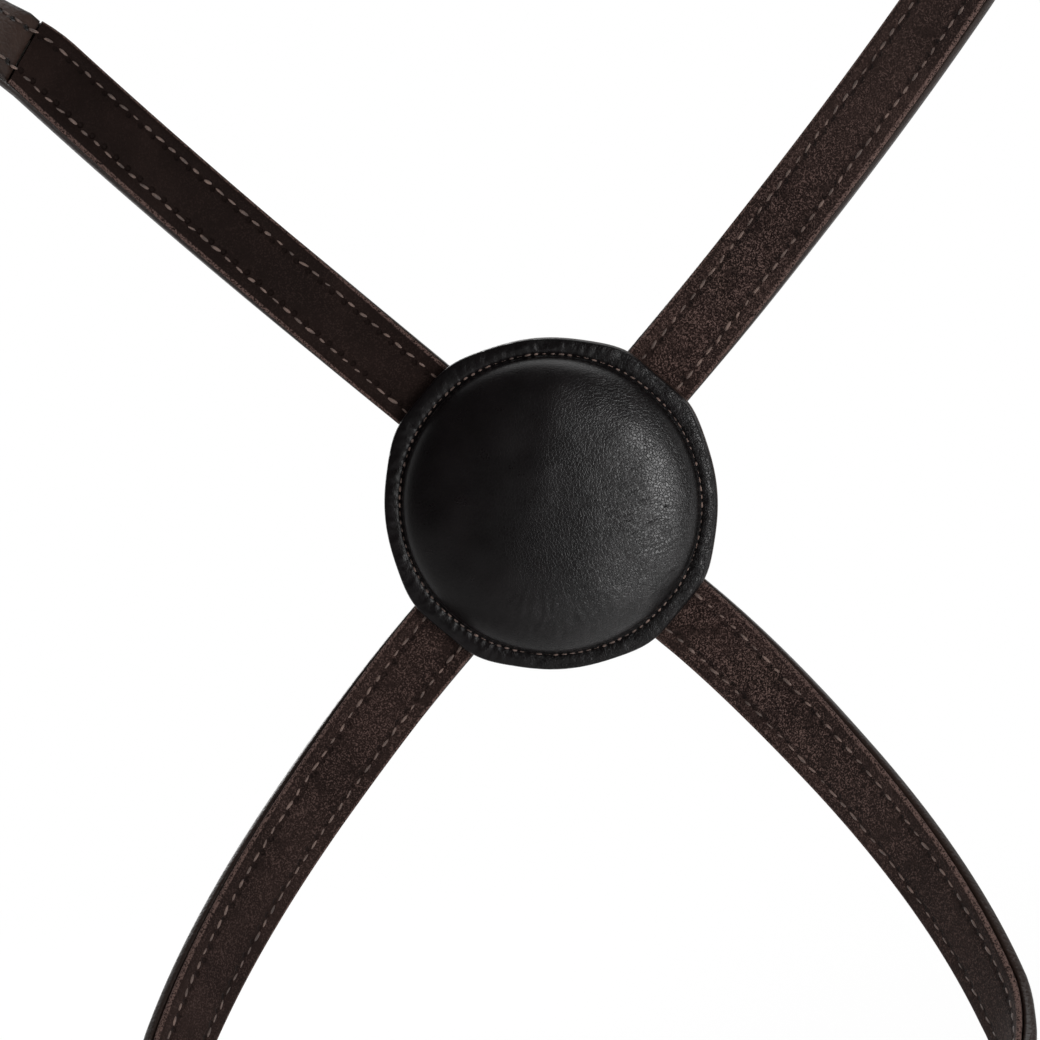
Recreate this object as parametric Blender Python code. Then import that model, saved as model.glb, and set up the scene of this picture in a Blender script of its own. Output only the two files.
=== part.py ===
"""Figure eight noseband, in the shape it takes when it is buckled on a horse's head.

Two diagonal straps run from the cheek rings, cross on the nose over a padded disc and meet under the
chin in a buckle. A jaw strap closes the upper loop behind the rings, and the headpiece holds the rings
up from the poll. Metres, +Z up. The origin is the underside of the headpiece on the poll, the front of
the face looks along +Y, and the near side, where every buckle lies, is at -X.

Every strap is a loft along a route. A place on a route is a matrix: its X runs along the strap, its Y
across it and its Z out of the show face. Z is zero between the show leather and what lies under it.
"""

import math
from bisect import bisect_right

import bmesh
import bpy
from mathutils import Matrix, Vector
from mathutils.geometry import interpolate_bezier

COLLECTION = "figure_eight_noseband"

# Place of the rings on the head
RING_HALF_SPAN = 0.099
RING_DROP = 0.372

# The round of the muzzle is a cone with its point down. The crossing angle of the straps fixes how wide
# the cone opens, so that the lower loop closes in a smooth curve under the chin.
CROSSING_ANGLE = math.radians(90)
CONE_REACH = 0.440
DISC_SINK = 0.004
FLAT_RUN = 0.036
CONE_JOIN = 0.080
UPPER_LAY = 0.135
LOWER_LAY = 0.140

# Nose straps between the ring and the muzzle, and on the flat side of the chin
NOSE_RING_SLOPE = math.radians(60)
NOSE_RING_RUN = 0.036
CHIN_BEND_RUN = 0.027
CHIN_SLOPE = math.radians(34.8)
CHIN_LEAN = math.radians(20)
CHIN_STRAIGHT = 0.064

# Jaw strap
JAW_SLOPE = math.radians(5)
JAW_RING_RUN = 0.036
JAW_LEAN = math.radians(25)
JAW_LEAN_RADIUS = 0.040
JAW_STRAIGHT = 0.068

# Headpiece
HEAD_RING_RUN = 0.040
HEAD_LEAN = math.radians(4)
HEAD_LEAN_RADIUS = 0.100
CROWN_FLAT = 0.040
CHEEK_BUCKLE_RISE = 0.190

# Leather
STRAP_WIDTH = 0.016
HEAD_WIDTH = 0.013
OUTER_LEATHER = 0.0022
LINING_LEATHER = 0.0011
BILLET_LEATHER = 0.0026
HEAD_LEATHER = 0.0024
JAW_LEATHER = 0.0026
EDGE_CHAMFER = 0.0005
CLEARANCE = 0.0003
RAISE = 0.0018
RAISE_HALF_WIDTH = 0.0038
RAISE_WALL = 0.0006
RAISE_FADE = 0.012
CROSSING_FADE = 0.012
LINING_INSET = 0.0003
LINING_DISC_REACH = 0.012

# Cheek rings
RING_RADIUS = 0.018
RING_WIRE_RADIUS = 0.002
RING_RAMP = 0.010
RING_TAIL = 0.034

# Buckles, each with a round heel bar and a cranked frame
BAR_RADIUS = 0.0015
FRAME_REACH = 0.022
FRAME_RISE = 0.0036
RAIL_CLEARANCE = 0.0004
FRAME_CORNER = 0.0025
TONGUE_RADIUS = 0.0011
TONGUE_OVERHANG = 0.0028
TONGUE_SLOT_CLEARANCE = 0.0005
EYE_OPENING = math.radians(50)
EYE_END = math.radians(-25)
FOLD_STRAIGHT = 0.0025
BAR_RAMP = 0.0060
SKIVE_RUN = 0.009

# Keepers
KEEPER_LEATHER = 0.0012
KEEPER_BACK = 0.0010
KEEPER_WIDTH = 0.0070
KEEPER_PLACE = 0.0125
KEEPER_SIDE_CLEARANCE = 0.0004
KEEPER_CORNER = 0.0016
RUNNER_WIDTH = 0.0065
RUNNER_PLACE = 0.0270
STRAIGHT_BEHIND_BAR = 0.038
BUCKLE_TAIL = 0.040
LINED_BUCKLE_TAIL = 0.0245
TAIL_RISE_RUN = 0.0060

# Billets: where the free end climbs through the frame, its point and its holes
BILLET_FLAT_UNDER = 0.020
BILLET_LEVEL_END = 0.030
BILLET_SETTLE = 0.014
BILLET_OVER = 0.0035
BILLET_DOWN = 0.0085
BILLET_TIP = 0.058
TIP_LENGTH = 0.011
HOLE_WIDTH = 0.0030
HOLE_LENGTH = 0.0062
HOLE_SHIFT = 0.0008
HOLE_PITCH = 0.020
HOLES_TO_TIP = 2
HOLES_TO_STRAP = 4
CUT_OVERRUN = 0.002

# Disc on the nose
DISC_RADIUS = 0.034
DISC_CORNER = 0.0009
DISC_CORNER_SPREAD = math.radians(11)
DISC_BASE_LEATHER = 0.0018
COVER_LEATHER = 0.0010
COVER_CROWN = 0.0078
DOME_RADIUS = 0.0303
DOME_SQUARENESS = 3.6
PAD_RADIUS = 0.0255

# How finely the straps and the round parts are divided
ROUTE_STEP = 0.0025
GRID_STEP = 0.030
GRID_SAG = 0.00013
GRID_WARP = math.sin(math.radians(5))
STRAIGHT_LIMIT = math.radians(0.02)
SMOOTH_LIMIT = math.radians(35)
RAMP_STEPS = 3
FOLD_STEPS = 7
RING_SEGMENTS = 32
WIRE_SEGMENTS = 8
DISC_SEGMENTS = 48
CORNER_STEPS = 3
HOLE_SEGMENTS = 12
MIN_MARK_GAP = 0.0015

# Shares of the raised strap's half width and height, from its foot to its top
HUMP_WIDTH_SHARES = (1.0, 0.62, 0.0)
HUMP_HEIGHT_SHARES = (0.0, 0.8, 1.0)
# Shares of a billet tip's length, and of the strap's half width there
TIP_PLACE_SHARES = (0.0, 0.3, 0.55, 0.75, 0.9, 1.0)
TIP_WIDTH_SHARES = (1.0, 0.96, 0.84, 0.66, 0.42, 0.14)
# Shares of the dome's radius where the disc's soft cover is shaped
DOME_PLACE_SHARES = (0.0, 0.2, 0.4, 0.58, 0.73, 0.85, 0.93, 0.98, 1.0)

LEATHER = ((0.018, 0.013, 0.011, 1.0), 0.5, 0.0)
LINING = ((0.03, 0.022, 0.019, 1.0), 0.75, 0.0)
SOFT = ((0.008, 0.008, 0.009, 1.0), 0.45, 0.0)
FELT = ((0.25, 0.24, 0.22, 1.0), 0.95, 0.0)
STEEL = ((0.62, 0.62, 0.6, 1.0), 0.2, 1.0)


def clear_scene():
    for obj in list(bpy.data.objects):
        bpy.data.objects.remove(obj, do_unlink=True)


def new_collection(name):
    collection = bpy.data.collections.new(name)
    bpy.context.scene.collection.children.link(collection)
    return collection


def material(name, finish):
    colour, roughness, metallic = finish
    made = bpy.data.materials.new(name)
    made.use_nodes = True
    shader = made.node_tree.nodes["Principled BSDF"]
    shader.inputs["Base Color"].default_value = colour
    shader.inputs["Roughness"].default_value = roughness
    shader.inputs["Metallic"].default_value = metallic
    return made


# Places and routes


def place(point, along, out):
    """The matrix of a place: its point, the way the strap runs and the way its show face looks."""
    along = along.normalized()
    out = (out - along * out.dot(along)).normalized()
    across = out.cross(along)
    turned = Matrix((along, across, out)).transposed().to_4x4()
    return Matrix.Translation(point) @ turned


def axis_of(matrix, index):
    return matrix.to_3x3().col[index].copy()


def reversed_place(matrix):
    return place(matrix.translation, -axis_of(matrix, 0), axis_of(matrix, 2))


def mirrored(matrix):
    """The same place on the head's other side, running the same way down the head."""
    flip = Vector((-1, 1, 1))
    return place(matrix.translation * flip, axis_of(matrix, 0) * flip, axis_of(matrix, 2) * flip)


def closing(frames):
    """The second half of a loop whose first half ends on the middle plane of the head."""
    return [reversed_place(mirrored(frame)) for frame in reversed(frames[:-1])]


def run(start, length):
    steps = max(2, round(length / ROUTE_STEP))
    return [start @ Matrix.Translation((length * i / steps, 0, 0)) for i in range(steps + 1)]


def turn(start, angle, radius):
    """An arc that bends inwards, away from the show face."""
    steps = max(2, round(abs(angle) * radius / ROUTE_STEP))
    centre = start @ Matrix.Translation((0, 0, -radius))
    return [
        centre @ Matrix.Rotation(angle * i / steps, 4, "Y") @ Matrix.Translation((0, 0, radius))
        for i in range(steps + 1)
    ]


def bend(start, end):
    """A smooth curve between two places, along which the show face turns evenly."""
    a, b = start.translation, end.translation
    handle = (b - a).length / 3
    steps = max(3, round((b - a).length / ROUTE_STEP))
    points = interpolate_bezier(
        a, a + axis_of(start, 0) * handle, b - axis_of(end, 0) * handle, b, steps + 1
    )
    frames = [start]
    for i in range(1, steps):
        share = i / steps
        out = axis_of(start, 2).lerp(axis_of(end, 2), share)
        frames.append(place(points[i], points[i + 1] - points[i - 1], out))
    return frames + [end]


def chain(*pieces):
    """Pieces of a route joined end to end."""
    frames = list(pieces[0])
    for piece in pieces[1:]:
        frames += piece[1:]
    return frames


def length_of(frames):
    return sum((b.translation - a.translation).length for a, b in zip(frames, frames[1:]))


def turn_between(a, b):
    """The angle that one place is turned from another."""
    angle = (a.to_quaternion().inverted() @ b.to_quaternion()).angle
    return min(angle, 2 * math.pi - angle)


class Route:
    """Places along a strap's line. Its grid holds the distances where every strap on it has a row."""

    def __init__(self, frames):
        self.frames = frames
        self.marks = [0.0]
        self.grid = [0.0]
        last, was_bent = frames[0], False
        for a, b in zip(frames, frames[1:]):
            bent = turn_between(a, b) > STRAIGHT_LIMIT
            if bent != was_bent and self.marks[-1] > self.grid[-1]:
                self.grid.append(self.marks[-1])
                last = a
            was_bent = bent
            self.marks.append(self.marks[-1] + (b.translation - a.translation).length)
            step = self.marks[-1] - self.grid[-1]
            warp = abs(axis_of(b, 1).dot(axis_of(last, 2)))
            if step * turn_between(last, b) / 8 > GRID_SAG or warp > GRID_WARP or step > GRID_STEP:
                self.grid.append(self.marks[-1])
                last = b
        self.length = self.marks[-1]

    def at(self, distance):
        inside = min(max(distance, 0.0), self.length)
        i = min(max(bisect_right(self.marks, inside) - 1, 0), len(self.frames) - 2)
        share = (inside - self.marks[i]) / (self.marks[i + 1] - self.marks[i])
        a, b = self.frames[i], self.frames[i + 1]
        turned = a.to_quaternion().slerp(b.to_quaternion(), share).to_matrix().to_4x4()
        point = a.translation.lerp(b.translation, share)
        return Matrix.Translation(point) @ turned @ Matrix.Translation((distance - inside, 0, 0))


def ring_centre(side):
    return Vector((side * RING_HALF_SPAN, 0, -RING_DROP))


def cone_place(distance, heading):
    """A place on the muzzle's cone, at a distance from the disc along a straight flat strap.

    Its point is measured from the disc's centre.
    """
    cone_sine = (math.pi - CROSSING_ANGLE) / 2 / math.pi
    cone_angle = math.asin(cone_sine)
    sideways = distance * math.sin(heading)
    outwards = CONE_REACH + distance * math.cos(heading)
    reach = math.hypot(sideways, outwards)
    unrolled = math.atan2(sideways, outwards)
    azimuth = unrolled / cone_sine
    ray = Vector((
        cone_sine * math.sin(azimuth),
        cone_sine * math.cos(azimuth),
        math.cos(cone_angle),
    ))
    around = Vector((math.cos(azimuth), -math.sin(azimuth), 0))
    out = around.cross(ray) * -1
    apex_to_disc = Vector((0, cone_sine, math.cos(cone_angle))) * CONE_REACH
    along = ray * math.cos(heading - unrolled) + around * math.sin(heading - unrolled)
    upright = Matrix.Rotation(cone_angle, 3, "X")
    front = Vector((0, DISC_SINK, 0))
    return place(front + upright @ (ray * reach - apex_to_disc), upright @ along, upright @ out)


def cone_lay(first, last, heading):
    steps = round((last - first) / ROUTE_STEP)
    return [cone_place(first + (last - first) * i / steps, heading) for i in range(steps + 1)]


def straight_way(across_a, across_b, ahead):
    """The way between two places of a flat strap that doesn't bend sideways, on the side of ahead."""
    way = across_a.cross(across_b).normalized()
    return way if way.dot(ahead) > 0 else -way


def nose_route():
    """From the near ring over the disc, down the off side, round the chin and up to the disc again.

    The route comes with the disc's centre, the distances of that centre and of the middle of the chin,
    and the distance where the straight run on the flat of the chin begins.
    """
    half = CROSSING_ANGLE / 2
    upper = [reversed_place(f) for f in reversed(cone_lay(CONE_JOIN, UPPER_LAY, -half))]
    top = upper[0]
    ring_way = Vector((0, math.cos(NOSE_RING_SLOPE), -math.sin(NOSE_RING_SLOPE)))
    ring_out = Vector((-1, 0, 0))
    way = straight_way(axis_of(top, 1), ring_out.cross(ring_way), axis_of(top, 0))
    run_end = top.translation - way * (top.translation.x + RING_HALF_SPAN) / way.x
    ring_run = run(place(run_end - ring_way * NOSE_RING_RUN, ring_way, ring_out), NOSE_RING_RUN)
    crossing = Vector((math.sin(half), 0, -math.cos(half)))
    over_disc = run(place(-crossing * FLAT_RUN, crossing, Vector((0, 1, 0))), 2 * FLAT_RUN)
    lower = cone_lay(CONE_JOIN, LOWER_LAY, math.pi - half)
    back = Vector((0, -math.cos(CHIN_SLOPE), -math.sin(CHIN_SLOPE)))
    inward = Vector((-math.sin(CHIN_LEAN), 0, 0)) + back * math.cos(CHIN_LEAN)
    outward = Vector((math.cos(CHIN_LEAN), 0, 0)) + back * math.sin(CHIN_LEAN)
    way = straight_way(axis_of(lower[-1], 1), outward.cross(inward), inward)
    side = lower[-1].translation + way * CHIN_BEND_RUN
    chin_run = run(place(side, inward, outward), CHIN_STRAIGHT)
    chin_radius = chin_run[-1].translation.x / math.cos(CHIN_LEAN)
    chin_turn = turn(chin_run[-1], math.pi / 2 - CHIN_LEAN, chin_radius)
    to_disc = chain(ring_run, bend(ring_run[-1], top), upper, bend(upper[-1], over_disc[0]))
    to_chin = chain(over_disc, bend(over_disc[-1], lower[0]), lower, bend(lower[-1], chin_run[0]),
                    chin_run, chin_turn)
    disc_mark = length_of(to_disc) + FLAT_RUN
    chin_mark = length_of(to_disc) + length_of(to_chin)
    straight_start = chin_mark - length_of(chin_turn) - length_of(chin_run)
    disc_centre = ring_centre(-1) - ring_run[0].translation
    frames = chain(to_disc, to_chin, [to_chin[-1]] + closing(to_chin))
    placed = [Matrix.Translation(disc_centre) @ frame for frame in frames]
    return Route(placed), disc_centre, disc_mark, chin_mark, straight_start


def jaw_route():
    ring = place(ring_centre(-1), Vector((0, -math.cos(JAW_SLOPE), -math.sin(JAW_SLOPE))), Vector((-1, 0, 0)))
    ring_run = run(ring, JAW_RING_RUN)
    lean = turn(ring_run[-1], JAW_LEAN, JAW_LEAN_RADIUS)
    straight = run(lean[-1], JAW_STRAIGHT)
    radius = -straight[-1].translation.x / math.cos(JAW_LEAN)
    half = chain(ring_run, lean, straight, turn(straight[-1], math.pi / 2 - JAW_LEAN, radius))
    return Route(chain(half, [half[-1]] + closing(half))), length_of(chain(ring_run, lean))


def head_route():
    """From the near ring up the cheek, over the poll and down to the off ring, its crown level."""
    ring = place(ring_centre(-1), Vector((0, 0, 1)), Vector((-1, 0, 0)))
    ring_run = run(ring, HEAD_RING_RUN)
    lean = turn(ring_run[-1], HEAD_LEAN, HEAD_LEAN_RADIUS)
    sine, cosine = math.sin(HEAD_LEAN), math.cos(HEAD_LEAN)
    reach = -lean[-1].translation.x - CROWN_FLAT / 2
    rise = -lean[-1].translation.z - CLEARANCE / 2
    side = (rise - reach * (1 - sine) / cosine) / (cosine - sine * (1 - sine) / cosine)
    straight = run(lean[-1], side)
    radius = (reach - side * sine) / cosine
    arch = turn(straight[-1], math.pi / 2 - HEAD_LEAN, radius)
    half = chain(ring_run, lean, straight, arch, run(arch[-1], CROWN_FLAT / 2))
    return Route(chain(half, [half[-1]] + closing(half)))


# Profiles along a strap


def eased(knots, x):
    """The value at x of a curve that passes smoothly through knots, sorted by their place."""
    if x <= knots[0][0]:
        return knots[0][1]
    for (a, low), (b, high) in zip(knots, knots[1:]):
        if x <= b:
            share = (x - a) / (b - a)
            return low + (high - low) * share * share * (3 - 2 * share)
    return knots[-1][1]


def ramp_marks(knots):
    marks = [x for x, value in knots]
    for (a, low), (b, high) in zip(knots, knots[1:]):
        if low != high:
            marks += [a + (b - a) * i / RAMP_STEPS for i in range(1, RAMP_STEPS)]
    return marks


def spread(start, end, grid, *knot_lists):
    """Distances from start to end: both ends, the ramps' own marks and the route's grid."""
    low, high = min(start, end), max(start, end)
    own = [x for knots in knot_lists for x in ramp_marks(knots)]
    marks = [low, high]
    for x in sorted(own) + grid:
        if low < x < high and all(abs(x - m) >= MIN_MARK_GAP for m in marks):
            marks.append(x)
    return sorted(marks, reverse=start > end)


# Sections and lofts


def plain_section(half, low, high):
    """A flat strap's section, with its four edges taken off."""
    cut = min(EDGE_CHAMFER, (high - low) / 3)
    return [
        (cut - half, low), (half - cut, low), (half, low + cut), (half, high - cut),
        (half - cut, high), (cut - half, high), (-half, high - cut), (-half, low + cut),
    ]


def lining_section(half, low, high):
    """A lining's section, whose upper face has the same columns as the leather over it."""
    cut = min(EDGE_CHAMFER, (high - low) / 3)
    return [
        (cut - half, low), (half - cut, low), (half, low + cut), (half, high), (RAISE_HALF_WIDTH, high),
        (0, high), (-RAISE_HALF_WIDTH, high), (-half, high), (-half, low + cut),
    ]


def hump_line(half, level, rise):
    """Points over a raised strap's middle, from one foot to the other."""
    shares = list(zip(HUMP_WIDTH_SHARES, HUMP_HEIGHT_SHARES))
    left = [(-half * w, level + rise * h) for w, h in shares]
    return left + [(-y, z) for y, z in reversed(left[:-1])]


def raised_section(half, low, high, rise):
    """A show leather's section, pushed up over the cord that raises it."""
    cut = min(EDGE_CHAMFER, (high - low) / 3)
    over = hump_line(RAISE_HALF_WIDTH + RAISE_WALL, high, rise)
    return [
        (-half, low), *hump_line(RAISE_HALF_WIDTH, low, rise), (half, low), (half, high - cut),
        (half - cut, high), *reversed(over), (cut - half, high), (-half, high - cut),
    ]


def loft(name, rows, finish, collection):
    """One closed solid through the rows, each a place and the points of the section there."""
    bm = bmesh.new()
    loops = [[bm.verts.new(matrix @ Vector((0, y, z))) for y, z in section] for matrix, section in rows]
    for a, b in zip(loops, loops[1:]):
        for i in range(len(a)):
            j = (i + 1) % len(a)
            bm.faces.new((a[i], a[j], b[j], b[i]))
    bm.faces.new(loops[0])
    bm.faces.new(loops[-1])
    return finish_mesh(name, bm, finish, collection)


def finish_mesh(name, bm, finish, collection, matrix=None):
    bmesh.ops.recalc_face_normals(bm, faces=bm.faces[:])
    mesh = bpy.data.meshes.new(name)
    bm.to_mesh(mesh)
    bm.free()
    mesh.shade_smooth()
    mesh.set_sharp_from_angle(angle=SMOOTH_LIMIT)
    obj = bpy.data.objects.new(name, mesh)
    if matrix is not None:
        obj.matrix_world = matrix
    if finish is not None:
        mesh.materials.append(material(name, finish))
    collection.objects.link(obj)
    return obj


def fold_rows(route, pin, way, hold, leather, half):
    """Rows round a pin that the strap is turned back on; the strap lies on the pin's side named by way."""
    centre = route.at(pin)
    rows = []
    for i in range(1, FOLD_STEPS):
        angle = -way * (math.pi - math.pi * i / FOLD_STEPS)
        rows.append((centre @ Matrix.Rotation(angle, 4, "Y"), plain_section(half, hold, hold + leather)))
    return rows


def tail_rows(route, pin, way, length, inner, thick, half):
    """Rows of a turned-back tail under the strap, from its end to the pin."""
    rows = []
    grid = [way * (mark - pin) for mark in route.grid]
    for q in spread(length, 0, grid, inner, thick):
        under = route.at(pin + way * q) @ Matrix.Rotation(math.pi, 4, "Y")
        low = eased(inner, q)
        rows.append((under, plain_section(half, low, low + eased(thick, q))))
    return rows


def cut(obj, cutter):
    """Takes a cutter's shape out of a solid."""
    cutter.hide_render = True
    cutter.display_type = "WIRE"
    modifier = obj.modifiers.new("cut_" + cutter.name, "BOOLEAN")
    modifier.operation = "DIFFERENCE"
    modifier.solver = "EXACT"
    modifier.object = cutter


# Straps that are turned back on a ring


def ring_pin(width):
    """How far from a ring's centre the bend of a fold lies, so that it clears the wire at its edges."""
    return math.sqrt((RING_RADIUS - RING_WIRE_RADIUS) ** 2 - (width / 2) ** 2) + RING_WIRE_RADIUS


def ring_knots(width):
    """How far the fold's inner face lies from the middle, by distance from its pin."""
    hold = RING_WIRE_RADIUS + CLEARANCE
    straight = RING_RADIUS + hold - ring_pin(width)
    return [(0.0, hold), (straight, hold), (straight + RING_RAMP, CLEARANCE / 2)]


def skive_knots(leather):
    return [(FOLD_STRAIGHT, leather), (FOLD_STRAIGHT + SKIVE_RUN, LINING_LEATHER)]


# Buckles


class Buckle:
    """The sizes of one buckle: where its heel bar lies, its strap's width and the two leathers."""

    def __init__(self, name, route, bar, width, leather, billet, lined):
        self.name = name
        self.route = route
        self.bar = bar
        self.half = width / 2
        self.leather = leather
        self.billet = billet
        self.centre = route.at(bar)
        self.hold = BAR_RADIUS + CLEARANCE
        self.under_frame = FRAME_RISE - BAR_RADIUS - CLEARANCE - billet
        self.over_fold = self.hold + leather + CLEARANCE
        self.over_strap = CLEARANCE / 2 + leather + CLEARANCE
        self.rail = self.half + RAIL_CLEARANCE + BAR_RADIUS
        self.tail_length = LINED_BUCKLE_TAIL if lined else BUCKLE_TAIL

    def billet_knots(self):
        """How high the billet's inner face lies, by distance from the heel bar towards the far bar."""
        return [
            (-BILLET_DOWN, self.over_strap), (-BILLET_OVER, self.over_fold), (BILLET_OVER, self.over_fold),
            (BILLET_FLAT_UNDER, self.under_frame), (BILLET_LEVEL_END, self.under_frame),
            (BILLET_LEVEL_END + BILLET_SETTLE, CLEARANCE / 2),
        ]

    def strap_knots(self):
        return [(0.0, self.hold), (FOLD_STRAIGHT, self.hold), (FOLD_STRAIGHT + BAR_RAMP, CLEARANCE / 2)]

    def tail_knots(self):
        """The tail dips under the fixed keeper's back leg and then lies against the strap."""
        leg = CLEARANCE / 2 + KEEPER_BACK + CLEARANCE
        near, far = KEEPER_PLACE - KEEPER_WIDTH / 2, KEEPER_PLACE + KEEPER_WIDTH / 2
        return [
            (0.0, self.hold), (FOLD_STRAIGHT, self.hold), (near - CLEARANCE, leg), (far + CLEARANCE, leg),
            (far + TAIL_RISE_RUN, CLEARANCE / 2),
        ]

    def tongue_points(self):
        """The tongue's line: its eye round the bar, then up through the billet and on to the far bar."""
        eye = self.hold + TONGUE_RADIUS
        count = 3 * CORNER_STEPS
        turned = 2 * math.pi - EYE_OPENING + EYE_END
        points = []
        for i in range(count + 1):
            angle = EYE_OPENING + turned * i / count
            points.append(Vector((eye * math.cos(angle), 0, eye * math.sin(angle))))
        rest = FRAME_RISE + BAR_RADIUS + CLEARANCE + TONGUE_RADIUS
        foot = Vector((eye + 2 * TONGUE_RADIUS, 0, -TONGUE_RADIUS / 2))
        shoulder = FRAME_REACH - BAR_RADIUS
        climb = [(foot.x, foot.z), (shoulder, rest)]
        points += [foot]
        for i in range(1, 2 * CORNER_STEPS + 1):
            x = foot.x + (shoulder - foot.x) * i / (2 * CORNER_STEPS)
            points.append(Vector((x, 0, eased(climb, x))))
        points.append(Vector((FRAME_REACH + TONGUE_OVERHANG, 0, rest)))
        return points

    def tongue_crossing(self):
        """How far from the heel bar the tongue passes through the middle of the billet."""
        knots = self.billet_knots()
        points = self.tongue_points()
        for a, b in zip(points[-2 * CORNER_STEPS - 2:], points[-2 * CORNER_STEPS - 1:]):
            over_a = a.z - eased(knots, a.x) - self.billet / 2
            over_b = b.z - eased(knots, b.x) - self.billet / 2
            if over_a < 0 <= over_b:
                return a.x + (b.x - a.x) * over_a / (over_a - over_b)
        return (BILLET_OVER + BILLET_FLAT_UNDER) / 2


def tube(name, points, radius, matrix, closed, collection):
    """A round wire along a line of points, given in the place's own axes."""
    curve = bpy.data.curves.new(name, "CURVE")
    curve.dimensions = "3D"
    curve.bevel_depth = radius
    curve.bevel_resolution = 2
    curve.use_fill_caps = not closed
    spline = curve.splines.new("POLY")
    spline.points.add(len(points) - 1)
    for spot, point in zip(spline.points, points):
        spot.co = (*point, 1)
    spline.use_cyclic_u = closed
    curve.materials.append(material(name, STEEL))
    obj = bpy.data.objects.new(name, curve)
    obj.matrix_world = matrix
    collection.objects.link(obj)
    return obj


def corner(centre, radius, start):
    """Points of a quarter round in the plane, from the angle start."""
    return [
        Vector((
            centre[0] + radius * math.cos(start + math.pi / 2 * i / CORNER_STEPS),
            centre[1] + radius * math.sin(start + math.pi / 2 * i / CORNER_STEPS),
        ))
        for i in range(CORNER_STEPS + 1)
    ]


def rounded_box(left, right, bottom, top, radius):
    """The outline of a rectangle with round corners, from its right top corner round."""
    quarter = math.pi / 2
    return [
        *corner((right - radius, top - radius), radius, 0),
        *corner((left + radius, top - radius), radius, quarter),
        *corner((left + radius, bottom + radius), radius, 2 * quarter),
        *corner((right - radius, bottom + radius), radius, 3 * quarter),
    ]


def buckle_frame(buckle, collection):
    """A frame of round wire, its far end cranked up over the billet."""
    crank = [(0.0, 0.0), (FRAME_REACH, FRAME_RISE)]
    outline = rounded_box(0, FRAME_REACH, -buckle.rail, buckle.rail, FRAME_CORNER)
    points = []
    for a, b in zip(outline, outline[1:] + outline[:1]):
        points.append(a)
        if abs(b.x - a.x) > FRAME_CORNER:
            points += [a.lerp(b, i / CORNER_STEPS) for i in range(1, CORNER_STEPS)]
    line = [Vector((p.x, p.y, eased(crank, p.x))) for p in points]
    return tube(buckle.name + "_buckle_frame", line, BAR_RADIUS, buckle.centre, True, collection)


def buckle_tongue(buckle, collection):
    return tube(buckle.name + "_buckle_tongue", buckle.tongue_points(), TONGUE_RADIUS, buckle.centre,
                False, collection)


def keeper(name, buckle, distance, bottom, back, width, collection):
    """A leather loop round the strap and the billet, its back leg of its own thickness."""
    inner_half = buckle.half + KEEPER_SIDE_CLEARANCE
    top = buckle.over_strap + buckle.billet + CLEARANCE
    outer = rounded_box(-inner_half - KEEPER_LEATHER, inner_half + KEEPER_LEATHER,
                        bottom - back, top + KEEPER_LEATHER, KEEPER_CORNER)
    inner = rounded_box(-inner_half, inner_half, bottom, top, EDGE_CHAMFER)
    curve = bpy.data.curves.new(name, "CURVE")
    curve.dimensions = "2D"
    curve.fill_mode = "BOTH"
    curve.extrude = width / 2
    for outline in (outer, inner):
        spline = curve.splines.new("POLY")
        spline.points.add(len(outline) - 1)
        for spot, point in zip(spline.points, outline):
            spot.co = (point.x, point.y, 0, 1)
        spline.use_cyclic_u = True
    curve.materials.append(material(name, LEATHER))
    stand = Matrix(((0, 0, 1), (1, 0, 0), (0, 1, 0))).to_4x4()
    obj = bpy.data.objects.new(name, curve)
    obj.matrix_world = buckle.route.at(buckle.bar - distance) @ stand
    collection.objects.link(obj)
    return obj


def buckle_keepers(buckle, collection):
    under_strap = -CLEARANCE / 2
    fixed = keeper(buckle.name + "_fixed_keeper", buckle, KEEPER_PLACE, under_strap, KEEPER_BACK,
                   KEEPER_WIDTH, collection)
    under_tail = -CLEARANCE / 2 - LINING_LEATHER - CLEARANCE
    runner = keeper(buckle.name + "_runner_keeper", buckle, RUNNER_PLACE, under_tail, KEEPER_LEATHER,
                    RUNNER_WIDTH, collection)
    return fixed, runner


def cut_tongue_slot(strap, buckle, cutters):
    """The slot in the fold that the tongue's eye turns in."""
    half = TONGUE_RADIUS + TONGUE_SLOT_CLEARANCE
    depth = buckle.hold + buckle.leather + CUT_OVERRUN
    back = buckle.hold + 2 * TONGUE_RADIUS + CLEARANCE
    front = buckle.hold + buckle.leather + CUT_OVERRUN
    bm = bmesh.new()
    bmesh.ops.create_cube(bm, size=1)
    bmesh.ops.scale(bm, vec=(back + front, 2 * half, 2 * depth), verts=bm.verts[:])
    bmesh.ops.translate(bm, vec=((front - back) / 2, 0, 0), verts=bm.verts[:])
    cut(strap, finish_mesh(buckle.name + "_slot_cutter", bm, None, cutters, buckle.centre))


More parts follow.
